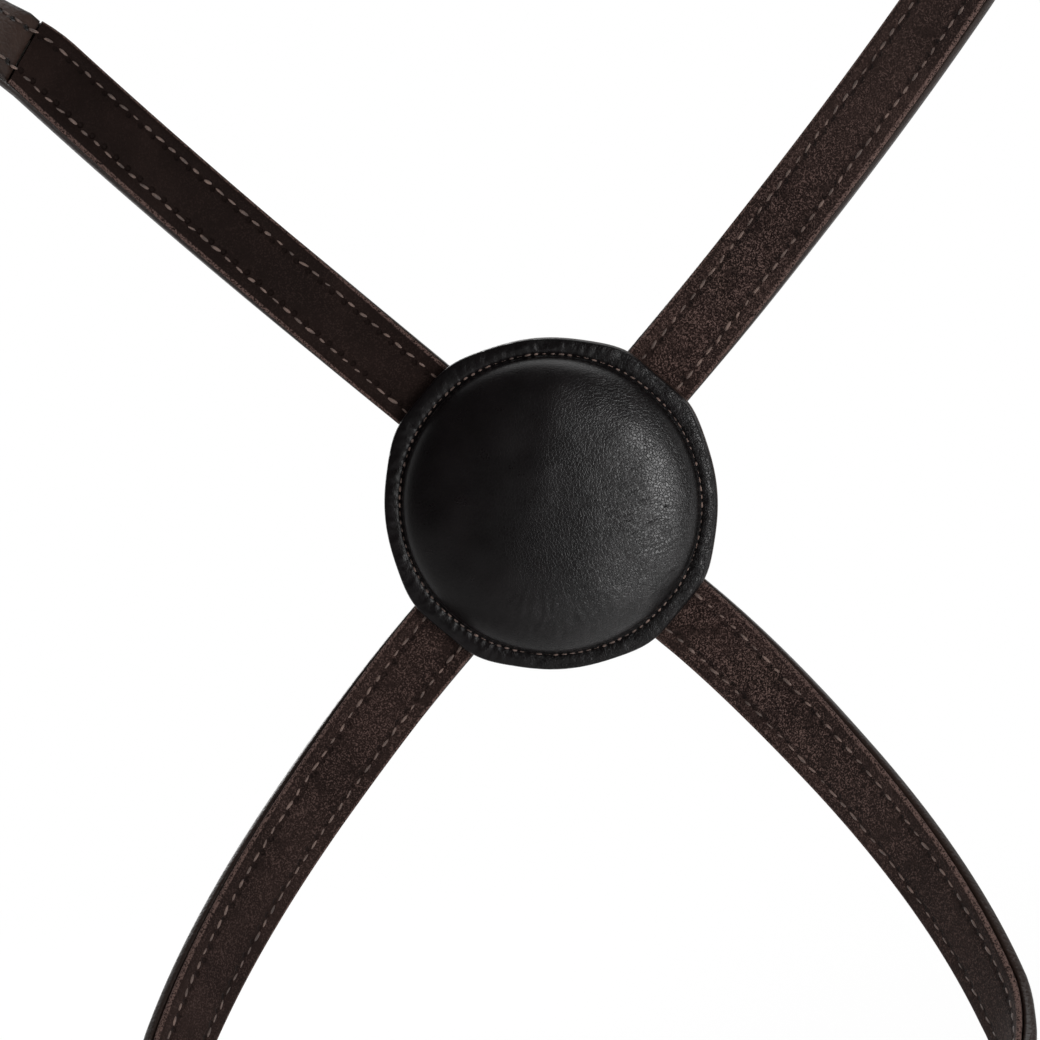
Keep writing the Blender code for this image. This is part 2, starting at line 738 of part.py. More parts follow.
def cut_billet_holes(strap, buckle, way, cutters):
    """Oval holes along a billet, one of them where the tongue stands.

    way is 1 where the billet's own route runs as the buckle's does.
    """
    knots = buckle.billet_knots()
    first = buckle.tongue_crossing() - HOLE_SHIFT
    bm = bmesh.new()
    for n in range(-HOLES_TO_TIP, HOLES_TO_STRAP + 1):
        x = first + n * HOLE_PITCH
        spots = [
            (buckle.route.at(buckle.bar + s) @ Vector((0, 0, eased(knots, s) + buckle.billet / 2)))
            for s in (x - HOLE_WIDTH, x, x + HOLE_WIDTH)
        ]
        stand = place(spots[1], spots[2] - spots[0], axis_of(buckle.route.at(buckle.bar + x), 2))
        shape = Matrix.Diagonal((HOLE_LENGTH / 2, HOLE_WIDTH / 2, buckle.billet + CUT_OVERRUN, 1))
        bmesh.ops.create_cone(bm, cap_ends=True, segments=HOLE_SEGMENTS, radius1=1, radius2=1, depth=1,
                              matrix=stand @ shape)
    cut(strap, finish_mesh(buckle.name + "_hole_cutter", bm, None, cutters))


# The straps themselves


def billet_end_rows(route, mark, buckle, way, start, thick, half):
    """Rows of a strap's plain end, from the distance start through the buckle to its point.

    mark is the heel bar's distance on this route, and way is -1 where the route runs against the buckle's.
    """
    knots = buckle.billet_knots()
    shifted = sorted((mark + way * x, value) for x, value in knots)
    tip = mark - way * BILLET_TIP
    tip_start = tip + way * TIP_LENGTH
    rows = []
    for d in spread(start, tip_start, route.grid, shifted, thick):
        low = eased(shifted, d)
        rows.append((d, half, low, low + eased(thick, d)))
    for place_share, width_share in list(zip(TIP_PLACE_SHARES, TIP_WIDTH_SHARES))[1:]:
        d = tip_start - way * TIP_LENGTH * place_share
        low = eased(shifted, d)
        rows.append((d, half * width_share, low, low + eased(thick, d)))
    return [(route.at(d), width, low, high) for d, width, low, high in rows]


def straps_rise(disc_mark, ring_mark, low_end):
    """Where a nose strap's show leather is raised: not at the ring, the crossing or the chin."""
    disc_edge = FLAT_RUN - CROSSING_FADE / 2
    return [
        (ring_mark, 0.0), (ring_mark + RAISE_FADE, RAISE),
        (disc_mark - disc_edge - CROSSING_FADE, RAISE), (disc_mark - disc_edge, 0.0),
        (disc_mark + disc_edge, 0.0), (disc_mark + disc_edge + CROSSING_FADE, RAISE),
        (low_end - RAISE_FADE, RAISE), (low_end, 0.0),
    ]


def nose_cord(name, route, rise, first, last, collection):
    """A cord that fills one raised stretch of a nose strap."""
    rows = []
    foot = CLEARANCE / 2
    half = RAISE_HALF_WIDTH - 2 * CLEARANCE
    for d in spread(first, last, route.grid):
        height = eased(rise, d) - CLEARANCE
        rows.append((route.at(d), hump_line(half, foot, height) + [(0, foot)]))
    return loft(name, rows, FELT, collection)


def nose_lining(name, route, first, last, collection):
    half = STRAP_WIDTH / 2 - LINING_INSET
    low = -CLEARANCE / 2 - LINING_LEATHER
    high = low + LINING_LEATHER
    rows = [(route.at(d), lining_section(half, low, high)) for d in spread(first, last, route.grid)]
    return loft(name, rows, LINING, collection)


def ring_turnback(route, pin, way, leather, width):
    """The tail and the bend of a strap that is turned back on a ring, up to its pin."""
    half = width / 2
    hold = RING_WIRE_RADIUS + CLEARANCE
    inner = ring_knots(width)
    rows = tail_rows(route, pin, way, RING_TAIL, inner, skive_knots(leather), half)
    return rows + fold_rows(route, pin, way, hold, leather, half)


def widen(rows):
    """Rows whose plain sections take the point count of the raised ones."""
    widened = []
    for matrix, section in rows:
        ys = [y for y, z in section]
        zs = [z for y, z in section]
        widened.append((matrix, raised_section(max(ys), min(zs), max(zs), 0.0)))
    return widened


def bar_turnback(route, buckle):
    """The bend on a heel bar and the tail behind it, from the strap's last row to the tail's end."""
    thick = skive_knots(buckle.leather)
    tail = tail_rows(route, buckle.bar, -1, buckle.tail_length, buckle.tail_knots(), thick, buckle.half)
    fold = fold_rows(route, buckle.bar, -1, buckle.hold, buckle.leather, buckle.half)
    return list(reversed(tail + fold))


def make_nose_straps(lay, collection, cutters):
    """The two diagonal straps, their linings and the cords that raise them."""
    route, disc_centre, disc_mark, chin_mark, straight_start = lay
    off_route = Route([mirrored(f) for f in route.frames])
    half = STRAP_WIDTH / 2
    pin = ring_pin(STRAP_WIDTH)
    ring_inner = [(pin + q, value) for q, value in ring_knots(STRAP_WIDTH)]
    tail_end = pin + RING_TAIL
    bar = straight_start + STRAIGHT_BEHIND_BAR
    buckle = Buckle("chin", off_route, bar, STRAP_WIDTH, OUTER_LEATHER, BILLET_LEATHER, True)
    low_end = bar - BILLET_TIP - 2 * CLEARANCE
    rise = straps_rise(disc_mark, ring_inner[-1][0], low_end)

    billet_mark = 2 * chin_mark - bar
    billet_start = chin_mark - CHIN_STRAIGHT
    thick = [(low_end, OUTER_LEATHER), (low_end + SKIVE_RUN, BILLET_LEATHER)]
    rows = widen(ring_turnback(route, pin, 1, OUTER_LEATHER, STRAP_WIDTH))
    for d in spread(pin, billet_start, route.grid, ring_inner, rise, thick):
        low = eased(ring_inner, d)
        rows.append((route.at(d), raised_section(half, low, low + eased(thick, d), eased(rise, d))))
    ends = billet_end_rows(route, billet_mark, buckle, -1, billet_start, thick, half)
    rows += [(m, raised_section(w, low, high, 0.0)) for m, w, low, high in ends[1:]]
    billet = loft("nose_strap_billet_leather", rows, LEATHER, collection)
    cut_billet_holes(billet, buckle, -1, cutters)

    step_over = OUTER_LEATHER + CLEARANCE
    over = [
        (disc_mark - FLAT_RUN + CROSSING_FADE, 0.0), (disc_mark - half - 2 * CLEARANCE, step_over),
        (disc_mark + half + 2 * CLEARANCE, step_over), (disc_mark + FLAT_RUN - CROSSING_FADE, 0.0),
    ]
    bar_inner = sorted((bar - q, value) for q, value in buckle.strap_knots())
    rows = widen(ring_turnback(off_route, pin, 1, OUTER_LEATHER, STRAP_WIDTH))
    for d in spread(pin, bar, off_route.grid, ring_inner, rise, over, bar_inner):
        low = eased(ring_inner, d) if d < disc_mark else eased(bar_inner, d)
        low += eased(over, d)
        rows.append((off_route.at(d), raised_section(half, low, low + OUTER_LEATHER, eased(rise, d))))
    rows += widen(bar_turnback(off_route, buckle))
    strap = loft("nose_strap_buckle_leather", rows, LEATHER, collection)
    cut_tongue_slot(strap, buckle, cutters)

    parts = [billet, strap]
    buckle_lining_end = bar - LINED_BUCKLE_TAIL - CLEARANCE
    for prefix, way, low_lining in (
        ("nose_strap_billet_", route, low_end + SKIVE_RUN), ("nose_strap_buckle_", off_route, buckle_lining_end),
    ):
        upper = (tail_end + CLEARANCE, disc_mark - LINING_DISC_REACH)
        lower = (disc_mark + LINING_DISC_REACH, low_lining)
        parts.append(nose_lining(prefix + "upper_lining", way, *upper, collection))
        parts.append(nose_lining(prefix + "lower_lining", way, *lower, collection))
        parts.append(nose_cord(prefix + "upper_cord", way, rise, rise[1][0], rise[2][0], collection))
        parts.append(nose_cord(prefix + "lower_cord", way, rise, rise[5][0], rise[6][0], collection))
    return parts, buckle


def make_short_strap(name, route, pin, width, buckle, collection, cutters):
    """A strap from a ring to its buckle: turned back on both, in one length of leather."""
    half = width / 2
    ring_inner = [(pin + q, value) for q, value in ring_knots(width)]
    bar_inner = sorted((buckle.bar - q, value) for q, value in buckle.strap_knots())
    middle = (pin + buckle.bar) / 2
    rows = ring_turnback(route, pin, 1, buckle.leather, width)
    for d in spread(pin, buckle.bar, route.grid, ring_inner, bar_inner):
        low = eased(ring_inner, d) if d < middle else eased(bar_inner, d)
        rows.append((route.at(d), plain_section(half, low, low + buckle.leather)))
    rows += bar_turnback(route, buckle)
    strap = loft(name, rows, LEATHER, collection)
    cut_tongue_slot(strap, buckle, cutters)
    return strap


def make_long_strap(name, route, width, leather, buckle, collection, cutters):
    """A strap from the off ring all the way round to its point, through the buckle."""
    half = width / 2
    pin = route.length - ring_pin(width)
    ring_inner = sorted((pin - q, value) for q, value in ring_knots(width))
    thick = [(0.0, leather)]
    middle = route.length / 2
    rows = ring_turnback(route, pin, -1, leather, width)
    for d in spread(pin, middle, route.grid, ring_inner):
        low = eased(ring_inner, d)
        rows.append((route.at(d), plain_section(half, low, low + leather)))
    ends = billet_end_rows(route, buckle.bar, buckle, 1, middle, thick, half)
    rows += [(m, plain_section(w, low, high)) for m, w, low, high in ends[1:]]
    strap = loft(name, rows, LEATHER, collection)
    cut_billet_holes(strap, buckle, 1, cutters)
    return strap


# The disc


def rim_factor(radius, angle):
    """How much a point outside the dome is pushed out where the edges of the straps hold the rim."""
    outside = min(1.0, max(0.0, (radius - DOME_RADIUS) / (DISC_RADIUS - DOME_RADIUS)))
    exit_half = math.asin(STRAP_WIDTH / 2 / DISC_RADIUS)
    half = CROSSING_ANGLE / 2
    exit_angles = [way + side * half for way in (math.pi / 2, -math.pi / 2) for side in (-1, 1)]
    bulge = 0.0
    for exit_angle in exit_angles:
        for edge in (-exit_half, exit_half):
            off = (angle - exit_angle - edge + math.pi) % (2 * math.pi) - math.pi
            bulge += math.exp(-(off / DISC_CORNER_SPREAD) ** 2)
    return 1 + outside * DISC_CORNER / DISC_RADIUS * bulge


def turned_part(name, profile, finish, disc_centre, collection):
    """A solid turned from a profile of radius and height about the disc's axis, with the disc's rim."""
    bm = bmesh.new()
    verts = [bm.verts.new((radius, 0, height)) for radius, height in profile]
    edges = [bm.edges.new(pair) for pair in zip(verts, verts[1:])]
    bmesh.ops.spin(bm, geom=verts + edges, cent=(0, 0, 0), axis=(0, 0, 1), dvec=(0, 0, 0),
                   angle=2 * math.pi, steps=DISC_SEGMENTS, use_merge=True, use_normal_flip=False,
                   use_duplicate=False)
    bmesh.ops.remove_doubles(bm, verts=bm.verts[:], dist=CLEARANCE / 10)
    for vert in bm.verts:
        factor = rim_factor(math.hypot(vert.co.x, vert.co.y), math.atan2(vert.co.y, vert.co.x))
        vert.co.x *= factor
        vert.co.y *= factor
    stand = Matrix.Translation(disc_centre) @ Matrix.Rotation(math.pi / 2, 4, "X")
    return finish_mesh(name, bm, finish, collection, stand)


def dome_height(share):
    """The height of the cover over its flange, as a share, at a share of the dome's radius."""
    return math.sqrt(max(0.0, 1 - share ** DOME_SQUARENESS))


def make_disc(disc_centre, collection):
    """The base leather, the pad and its soft cover. Height runs towards the horse from the straps."""
    base_top = CLEARANCE / 2 + LINING_LEATHER + CLEARANCE
    base_under = base_top + DISC_BASE_LEATHER
    flange = base_under + CLEARANCE
    edge = EDGE_CHAMFER
    base_profile = [
        (0, base_under), (DISC_RADIUS - edge, base_under), (DISC_RADIUS, base_under - edge),
        (DISC_RADIUS, base_top + edge), (DISC_RADIUS - edge, base_top), (0, base_top),
    ]
    base = turned_part("disc_base_leather", base_profile, LEATHER, disc_centre, collection)
    outer = [
        (DOME_RADIUS * share, flange + COVER_LEATHER + COVER_CROWN * dome_height(share))
        for share in DOME_PLACE_SHARES
    ]
    inner_radius = DOME_RADIUS - COVER_LEATHER
    inner = [
        (inner_radius * share, flange + COVER_CROWN * dome_height(share)) for share in DOME_PLACE_SHARES
    ]
    rim = [
        (DISC_RADIUS - edge, flange + COVER_LEATHER), (DISC_RADIUS, flange + COVER_LEATHER - edge),
        (DISC_RADIUS, flange),
    ]
    profile = outer + rim + list(reversed(inner))
    cover = turned_part("disc_pad_cover", profile, SOFT, disc_centre, collection)
    pad_reach = PAD_RADIUS / inner_radius
    pad_top = [
        (PAD_RADIUS * share, flange + COVER_CROWN * dome_height(share * pad_reach) - CLEARANCE)
        for share in DOME_PLACE_SHARES[::2]
    ]
    pad_profile = pad_top + [(PAD_RADIUS, flange), (0, flange)]
    pad = turned_part("disc_pad", pad_profile, FELT, disc_centre, collection)
    return [base, cover, pad]


def make_ring(name, side, collection):
    bpy.ops.mesh.primitive_torus_add(
        major_segments=RING_SEGMENTS, minor_segments=WIRE_SEGMENTS, major_radius=RING_RADIUS,
        minor_radius=RING_WIRE_RADIUS, location=ring_centre(side), rotation=(0, math.pi / 2, 0),
    )
    ring = bpy.context.active_object
    for owner in list(ring.users_collection):
        owner.objects.unlink(ring)
    collection.objects.link(ring)
    ring.name = name
    ring.data.name = name
    ring.data.materials.append(material(name, STEEL))
    ring.data.shade_smooth()
    return ring


def hang(name, point, parts, collection):
    """An empty on a joint's axis that carries the pieces that turn about it."""
    pivot = bpy.data.objects.new(name, None)
    pivot.location = point
    collection.objects.link(pivot)
    for part in parts:
        part.parent = pivot
        part.matrix_parent_inverse = Matrix.Translation(point).inverted()
    return pivot


def make_buckle(buckle, collection):
    frame = buckle_frame(buckle, collection)
    tongue = buckle_tongue(buckle, collection)
    fixed, runner = buckle_keepers(buckle, collection)
    return frame, tongue, fixed, runner


def main():
    clear_scene()
    collection = new_collection(COLLECTION)
    cutters = new_collection("cutters")

    nose_lay = nose_route()
    nose_parts, chin = make_nose_straps(nose_lay, collection, cutters)
    nose_parts += make_disc(nose_lay[1], collection)

    jaw_line, jaw_straight_start = jaw_route()
    jaw_bar = jaw_straight_start + STRAIGHT_BEHIND_BAR
    jaw = Buckle("jaw", jaw_line, jaw_bar, STRAP_WIDTH, JAW_LEATHER, JAW_LEATHER, False)
    jaw_parts = [
        make_short_strap("jaw_buckle_strap", jaw_line, ring_pin(STRAP_WIDTH), STRAP_WIDTH, jaw, collection,
                         cutters),
        make_long_strap("jaw_billet_strap", jaw_line, STRAP_WIDTH, JAW_LEATHER, jaw, collection, cutters),
    ]

    head_line = head_route()
    cheek = Buckle("cheek", head_line, CHEEK_BUCKLE_RISE, HEAD_WIDTH, HEAD_LEATHER, HEAD_LEATHER, False)
    make_short_strap("cheek_strap", head_line, ring_pin(HEAD_WIDTH), HEAD_WIDTH, cheek, collection, cutters)
    make_long_strap("headpiece_strap", head_line, HEAD_WIDTH, HEAD_LEATHER, cheek, collection, cutters)

    make_ring("cheek_ring_near", -1, collection)
    make_ring("cheek_ring_off", 1, collection)

    nose_parts += make_buckle(chin, collection)
    jaw_parts += make_buckle(jaw, collection)
    make_buckle(cheek, collection)
    ring_axis = Vector((0, 0, -RING_DROP))
    hang("nosepiece_swing", ring_axis, nose_parts, collection)
    hang("jaw_strap_swing", ring_axis, jaw_parts, collection)


main()
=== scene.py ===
"""Figure eight noseband: the leather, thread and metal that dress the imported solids.

The straps are drawn along the same lines as the solids, with rounded edges, a raised middle, stitch rows
and turned-back ends. Metres, +Z up, the front of the face along +Y, every buckle at -X.
"""

import math
import random
from bisect import bisect_right
from collections import namedtuple

import bmesh
import bpy
from bpy.props import FloatProperty, FloatVectorProperty, IntProperty, PointerProperty
from mathutils import Matrix, Vector, noise
from mathutils.geometry import interpolate_bezier


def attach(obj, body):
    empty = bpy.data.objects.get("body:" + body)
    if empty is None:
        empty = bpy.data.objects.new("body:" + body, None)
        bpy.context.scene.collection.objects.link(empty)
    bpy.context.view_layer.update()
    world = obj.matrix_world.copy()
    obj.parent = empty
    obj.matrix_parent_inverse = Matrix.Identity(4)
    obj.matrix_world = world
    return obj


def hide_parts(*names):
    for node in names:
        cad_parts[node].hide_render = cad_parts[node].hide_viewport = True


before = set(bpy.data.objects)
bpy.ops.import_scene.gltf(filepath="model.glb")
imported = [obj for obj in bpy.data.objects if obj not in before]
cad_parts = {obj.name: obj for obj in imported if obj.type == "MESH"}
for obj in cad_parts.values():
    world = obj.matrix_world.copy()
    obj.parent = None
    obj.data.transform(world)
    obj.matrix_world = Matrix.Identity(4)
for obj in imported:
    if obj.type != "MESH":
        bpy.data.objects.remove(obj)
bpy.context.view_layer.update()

bl_info = {
    "name": "Figure eight noseband",
    "version": (1, 0, 0),
    "blender": (4, 5, 0),
    "location": "View3D > Sidebar > Noseband",
    "description": "Builds the leather straps, padded disc, stitching and metal of a figure eight noseband",
    "category": "Add Mesh",
}

# Place of the rings on the head
RING_HALF_SPAN = 0.099
RING_DROP = 0.372

# The round of the muzzle and how the nose straps lie on it
CROSSING_ANGLE = math.radians(90)
CONE_REACH = 0.440
DISC_SINK = 0.004
FLAT_RUN = 0.036
CONE_JOIN = 0.080
UPPER_LAY = 0.135
LOWER_LAY = 0.140
NOSE_RING_SLOPE = math.radians(60)
NOSE_RING_RUN = 0.036
CHIN_BEND_RUN = 0.027
CHIN_SLOPE = math.radians(34.8)
CHIN_LEAN = math.radians(20)
CHIN_STRAIGHT = 0.064

# Jaw strap and headpiece
JAW_SLOPE = math.radians(5)
JAW_RING_RUN = 0.036
JAW_LEAN = math.radians(25)
JAW_LEAN_RADIUS = 0.040
JAW_STRAIGHT = 0.068
HEAD_RING_RUN = 0.040
HEAD_LEAN = math.radians(4)
HEAD_LEAN_RADIUS = 0.100
CROWN_FLAT = 0.040
CHEEK_BUCKLE_RISE = 0.190

# Leather
STRAP_WIDTH = 0.016
HEAD_WIDTH = 0.013
OUTER_LEATHER = 0.0022
LINING_LEATHER = 0.0011
BILLET_LEATHER = 0.0026
HEAD_LEATHER = 0.0024
JAW_LEATHER = 0.0026
CLEARANCE = 0.0003
RAISE = 0.0018
RAISE_HALF_WIDTH = 0.0038
RAISE_WALL = 0.0006
RAISE_FADE = 0.012
CROSSING_FADE = 0.012
LINING_INSET = 0.0003
LINING_DISC_REACH = 0.012

# Cheek rings and the straps turned back on them
RING_RADIUS = 0.018
RING_WIRE_RADIUS = 0.002
RING_RAMP = 0.010
RING_TAIL = 0.034

# Buckles
BAR_RADIUS = 0.0015
FRAME_REACH = 0.022
FRAME_RISE = 0.0036
RAIL_CLEARANCE = 0.0004
FRAME_CORNER = 0.0025
TONGUE_RADIUS = 0.0011
TONGUE_OVERHANG = 0.0028
TONGUE_SLOT_CLEARANCE = 0.0005
EYE_OPENING = math.radians(50)
EYE_END = math.radians(-25)
FOLD_STRAIGHT = 0.0025
BAR_RAMP = 0.0060
SKIVE_RUN = 0.009
KEEPER_LEATHER = 0.0012
KEEPER_BACK = 0.0010
KEEPER_WIDTH = 0.0070
KEEPER_PLACE = 0.0125
KEEPER_SIDE_CLEARANCE = 0.0004
KEEPER_CORNER = 0.0006
RUNNER_WIDTH = 0.0065
RUNNER_PLACE = 0.0270
STRAIGHT_BEHIND_BAR = 0.038
BUCKLE_TAIL = 0.040
LINED_BUCKLE_TAIL = 0.0245
TAIL_RISE_RUN = 0.0060

# Billets
BILLET_FLAT_UNDER = 0.020
BILLET_LEVEL_END = 0.030
BILLET_SETTLE = 0.014
BILLET_OVER = 0.0035
BILLET_DOWN = 0.0085
BILLET_TIP = 0.058
TIP_LENGTH = 0.011
HOLE_WIDTH = 0.0030
HOLE_LENGTH = 0.0062
HOLE_SHIFT = 0.0008
HOLE_PITCH = 0.020
HOLES_TO_TIP = 2
HOLES_TO_STRAP = 4
CUT_OVERRUN = 0.002

# Disc on the nose
DISC_RADIUS = 0.034
DISC_CORNER = 0.0009
DISC_CORNER_SPREAD = math.radians(11)
DISC_BASE_LEATHER = 0.0018
COVER_LEATHER = 0.0010
COVER_CROWN = 0.0078
DOME_RADIUS = 0.0303
DOME_SQUARENESS = 3.6
BRIM = 0.0004
PAD_RADIUS = 0.0255

# How finely the new surfaces are divided
ROUTE_STEP = 0.0025
ROW_STEP = 0.0022
RAMP_STEPS = 8
FOLD_STEPS = 14
EDGE_STEPS = 3
PLAIN_COLUMNS = 8
RING_SEGMENTS = 128
WIRE_SEGMENTS = 16
DISC_SEGMENTS = 400
DOME_STEPS = 78
TIP_STEPS = 14
HOLE_SEGMENTS = 24
CORNER_STEPS = 6
STITCH_SEGMENTS = 6
STITCH_RINGS = 5
HUMP_COLUMNS = 8
OUTER_COLUMNS = (0.45, 0.7, 1.0)
LIP_STEPS = 16
INNER_DOME_STEPS = 12
PAD_STEPS = 16
PAD_SEGMENTS = 96
CAP_STEPS = 4
SLOT_CORNER_STEPS = 4
FLOOR_SEGMENTS = 96
MERGE = 0.000002
SMOOTH_LIMIT = math.radians(55)

# How edges and ends are rounded, in shares of the piece and powers of a curve
EDGE_OF_THICKNESS = 0.46
EDGE_OF_WIDTH = 0.5
TAIL_END_THICKNESS = 0.35
TAIL_END_NARROWING = 0.06
TIP_POWER = 2.2
TIP_SHARE = 0.14
SLOT_ROUND = 0.8
WIRE_CAP = 0.6
WIRE_CAP_END = 0.08
LIP_LEAN = 0.8
LIP_ROUND = 0.9
LIP_EDGE = 0.45

# What all finishes share
SHEEN_ROUGHNESS = 0.45
COAT_ROUGHNESS = 0.35
CELL_SMOOTHNESS = 0.5

# How the napped leather wears smooth with its distance from the disc
NAP_FULL = 0.060
NAP_WORN = 0.115

# How stitches differ from one another, as shares of their length, slant and width, and their height
STITCH_LENGTHS = (0.75, 1.15)
STITCH_WIDTHS = (0.85, 1.15)
STITCH_SLANTS = (-0.4, 1.8)
STITCH_SHIFTS = (-0.15, 0.15)
STITCH_LIFTS = (-0.16, 0.10)
STITCH_HEIGHT = 0.36

# Creases of the disc's cover: where they lie on it, which way they run and how close together
INSIDE_FADE = 0.006
SWELL_SCALES = (75, 170)
WARP_SCALE = 300
PATCH_SCALES = (240, 500)
PATCH_SHARE = 0.35
SIDE_CREASES = (0.0225, -0.0065, 0.0080, 0.0120)
LOW_CREASES = (0.0020, -0.0235, 0.0130, 0.0060)
CREASE_TILT = math.radians(8)
CREASE_TURN = math.radians(32)
CREASE_TURN_RUN = 0.016
CREASE_WARP = 0.0010
CREASE_PITCH = 0.0019
CREASE_POWER = 5
CREASE_DEPTH = 1.6
LOW_CREASE_PITCH = 0.0026
LOW_CREASE_DEPTH = 1.3
LOW_CREASE_RADIUS = 0.024
PULL_WIDTH = 0.0009
GATHER_PLACE = 0.0016
GATHER_WIDTH = 0.0012
GATHER_SCALE = 500
GATHERS = ((9, 0.7), (34, 1.0), (80, 0.6))
SET_BACK_WAY = math.radians(-8)
SET_BACK_SPREAD = math.radians(46)

# Each light's place and size, and the camera
KEY_LIGHT = Vector((0.250, -0.320, -0.520)), (0.20, 0.27)
TOP_LIGHT = Vector((0.1, 0.45, 0.85)), (1.2, 1.2)
BACK_LIGHT = Vector((-0.6, 1.3, -0.1)), (0.9, 0.9)
SENSOR_WIDTH = 36.0
CLIP_END = 50

# The solids' own plain materials have the slots' names, so the finishes start with this
DRESSED = "dressed_"


# Sizes and colours a user would change


class LeatherSettings(bpy.types.PropertyGroup):
    edge_round: FloatProperty(
        name="Edge round", description="Radius of the straps' rounded edges", default=0.0007, unit="LENGTH")
    groove_depth: FloatProperty(
        name="Groove depth", description="How deep the stitch rows are drawn in", default=0.00016,
        unit="LENGTH")
    pillow: FloatProperty(
        name="Lining pillow", description="How far the lining swells between its stitch rows",
        default=0.00022, unit="LENGTH")
    strap_colour: FloatVectorProperty(
        name="Strap colour", description="Show side of the straps", subtype="COLOR", size=3,
        default=(0.0250, 0.0140, 0.0105), min=0, max=1)
    lining_colour: FloatVectorProperty(
        name="Lining colour", description="Leather on the horse's side", subtype="COLOR", size=3,
        default=(0.0190, 0.0113, 0.0096), min=0, max=1)
    nap_colour: FloatVectorProperty(
        name="Nap colour", description="Raised fibres of the napped leather", subtype="COLOR", size=3,
        default=(0.104, 0.066, 0.057), min=0, max=1)
    cover_colour: FloatVectorProperty(
        name="Cover colour", description="Soft leather over the disc's pad", subtype="COLOR", size=3,
        default=(0.0036, 0.0027, 0.0029), min=0, max=1)


class StitchSettings(bpy.types.PropertyGroup):
    pitch: FloatProperty(
        name="Pitch", description="Distance from one stitch to the next on a strap", default=0.0032,
        unit="LENGTH")
    disc_pitch: FloatProperty(
        name="Disc pitch", description="Distance from one stitch to the next round the disc", default=0.0017,
        unit="LENGTH")
    inset: FloatProperty(
        name="Inset", description="Distance of a stitch row from the strap's edge", default=0.0033,
        unit="LENGTH")
    length: FloatProperty(
        name="Length", description="Visible length of a stitch", default=0.0022, unit="LENGTH")
    disc_length: FloatProperty(
        name="Disc length", description="Visible length of a stitch round the disc", default=0.0011,
        unit="LENGTH")
    width: FloatProperty(name="Width", description="Width of the thread", default=0.00070, unit="LENGTH")
    slant: FloatProperty(
        name="Slant", description="How far a stitch is turned from its row", default=math.radians(9),
        subtype="ANGLE")
    seed: IntProperty(name="Seed", description="Start of the stitches' small differences", default=8, min=0)
    colour: FloatVectorProperty(
        name="Thread colour", description="Waxed brown thread", subtype="COLOR", size=3,
        default=(0.096, 0.062, 0.050), min=0, max=1)


class DiscSettings(bpy.types.PropertyGroup):
    ring: FloatProperty(
        name="Stitch ring", description="Radius of the ring of stitches", default=0.0308, unit="LENGTH")
    lip: FloatProperty(
        name="Lip", description="How far the rolled rim stands above the stitch ring", default=0.00038,
        unit="LENGTH")
    set_back: FloatProperty(
        name="Set back", description="How far the cover stops short of the base's edge on the off side",
        default=0.0007, unit="LENGTH")
    pucker: FloatProperty(
        name="Pucker", description="How deep the cover is drawn in at each stitch", default=0.00022,
        unit="LENGTH")
    fold: FloatProperty(
        name="Fold", description="Height of the gathers in the rim", default=0.00021, unit="LENGTH")
    wrinkle: FloatProperty(
        name="Wrinkle", description="Depth of the creases on the cover's off side", default=0.00013,
        unit="LENGTH")
    swell: FloatProperty(
        name="Swell", description="Unevenness of the padding under the cover", default=0.00028,
        unit="LENGTH")


class MetalSettings(bpy.types.PropertyGroup):
    colour: FloatVectorProperty(
        name="Steel colour", description="Polished stainless steel", subtype="COLOR", size=3,
        default=(0.60, 0.59, 0.57), min=0, max=1)
    roughness: FloatProperty(
        name="Roughness", description="Mean roughness of the polish", default=0.22, min=0.02, max=1,
        subtype="FACTOR")


class StageSettings(bpy.types.PropertyGroup):
    distance: FloatProperty(
        name="Camera distance", description="From the disc to the camera", default=0.600, unit="LENGTH")
    view_width: FloatProperty(
        name="View width", description="What the picture spans at the disc", default=0.2131, unit="LENGTH")
    side: FloatProperty(
        name="Side", description="How far the camera stands to the off side", default=math.radians(5.0),
        subtype="ANGLE")
    height: FloatProperty(
        name="Height", description="How far the camera looks down", default=math.radians(6.8),
        subtype="ANGLE")
    roll: FloatProperty(
        name="Roll", description="How far the noseband is turned in the picture", default=math.radians(5.4),
        subtype="ANGLE")
    disc_right: FloatProperty(
        name="Disc to the right", description="Disc from the picture's middle", default=0.0065,
        unit="LENGTH")
    disc_up: FloatProperty(
        name="Disc up", description="Disc above the picture's middle", default=0.0036, unit="LENGTH")
    key_power: FloatProperty(
        name="Key power", description="Near soft light", default=1.8, min=0, unit="POWER")
    far_power: FloatProperty(name="Far power", description="Large lights", default=9.0, min=0, unit="POWER")
    fill: FloatProperty(name="Fill", description="Strength of the room's own light", default=0.50, min=0)
    floor_height: FloatProperty(
        name="Floor height", description="Height of the pale floor", default=-0.745, unit="LENGTH")
    floor_radius: FloatProperty(
        name="Floor radius", description="Radius of the pale floor", default=0.85, unit="LENGTH")


class NosebandSettings(bpy.types.PropertyGroup):
    leather: PointerProperty(type=LeatherSettings)
    stitches: PointerProperty(type=StitchSettings)
    disc: PointerProperty(type=DiscSettings)
    metal: PointerProperty(type=MetalSettings)
    stage: PointerProperty(type=StageSettings)


def settings():
    return bpy.context.scene.noseband


# Places and routes


def place(point, along, out):
    """The matrix of a place: its point, the way the strap runs and the way its show face looks."""
    along = along.normalized()
    out = (out - along * out.dot(along)).normalized()
    across = out.cross(along)
    turned = Matrix((along, across, out)).transposed().to_4x4()
    return Matrix.Translation(point) @ turned


def axis_of(matrix, index):
    return matrix.to_3x3().col[index].copy()


def reversed_place(matrix):
    return place(matrix.translation, -axis_of(matrix, 0), axis_of(matrix, 2))


def mirrored(matrix):
    flip = Vector((-1, 1, 1))
    return place(matrix.translation * flip, axis_of(matrix, 0) * flip, axis_of(matrix, 2) * flip)


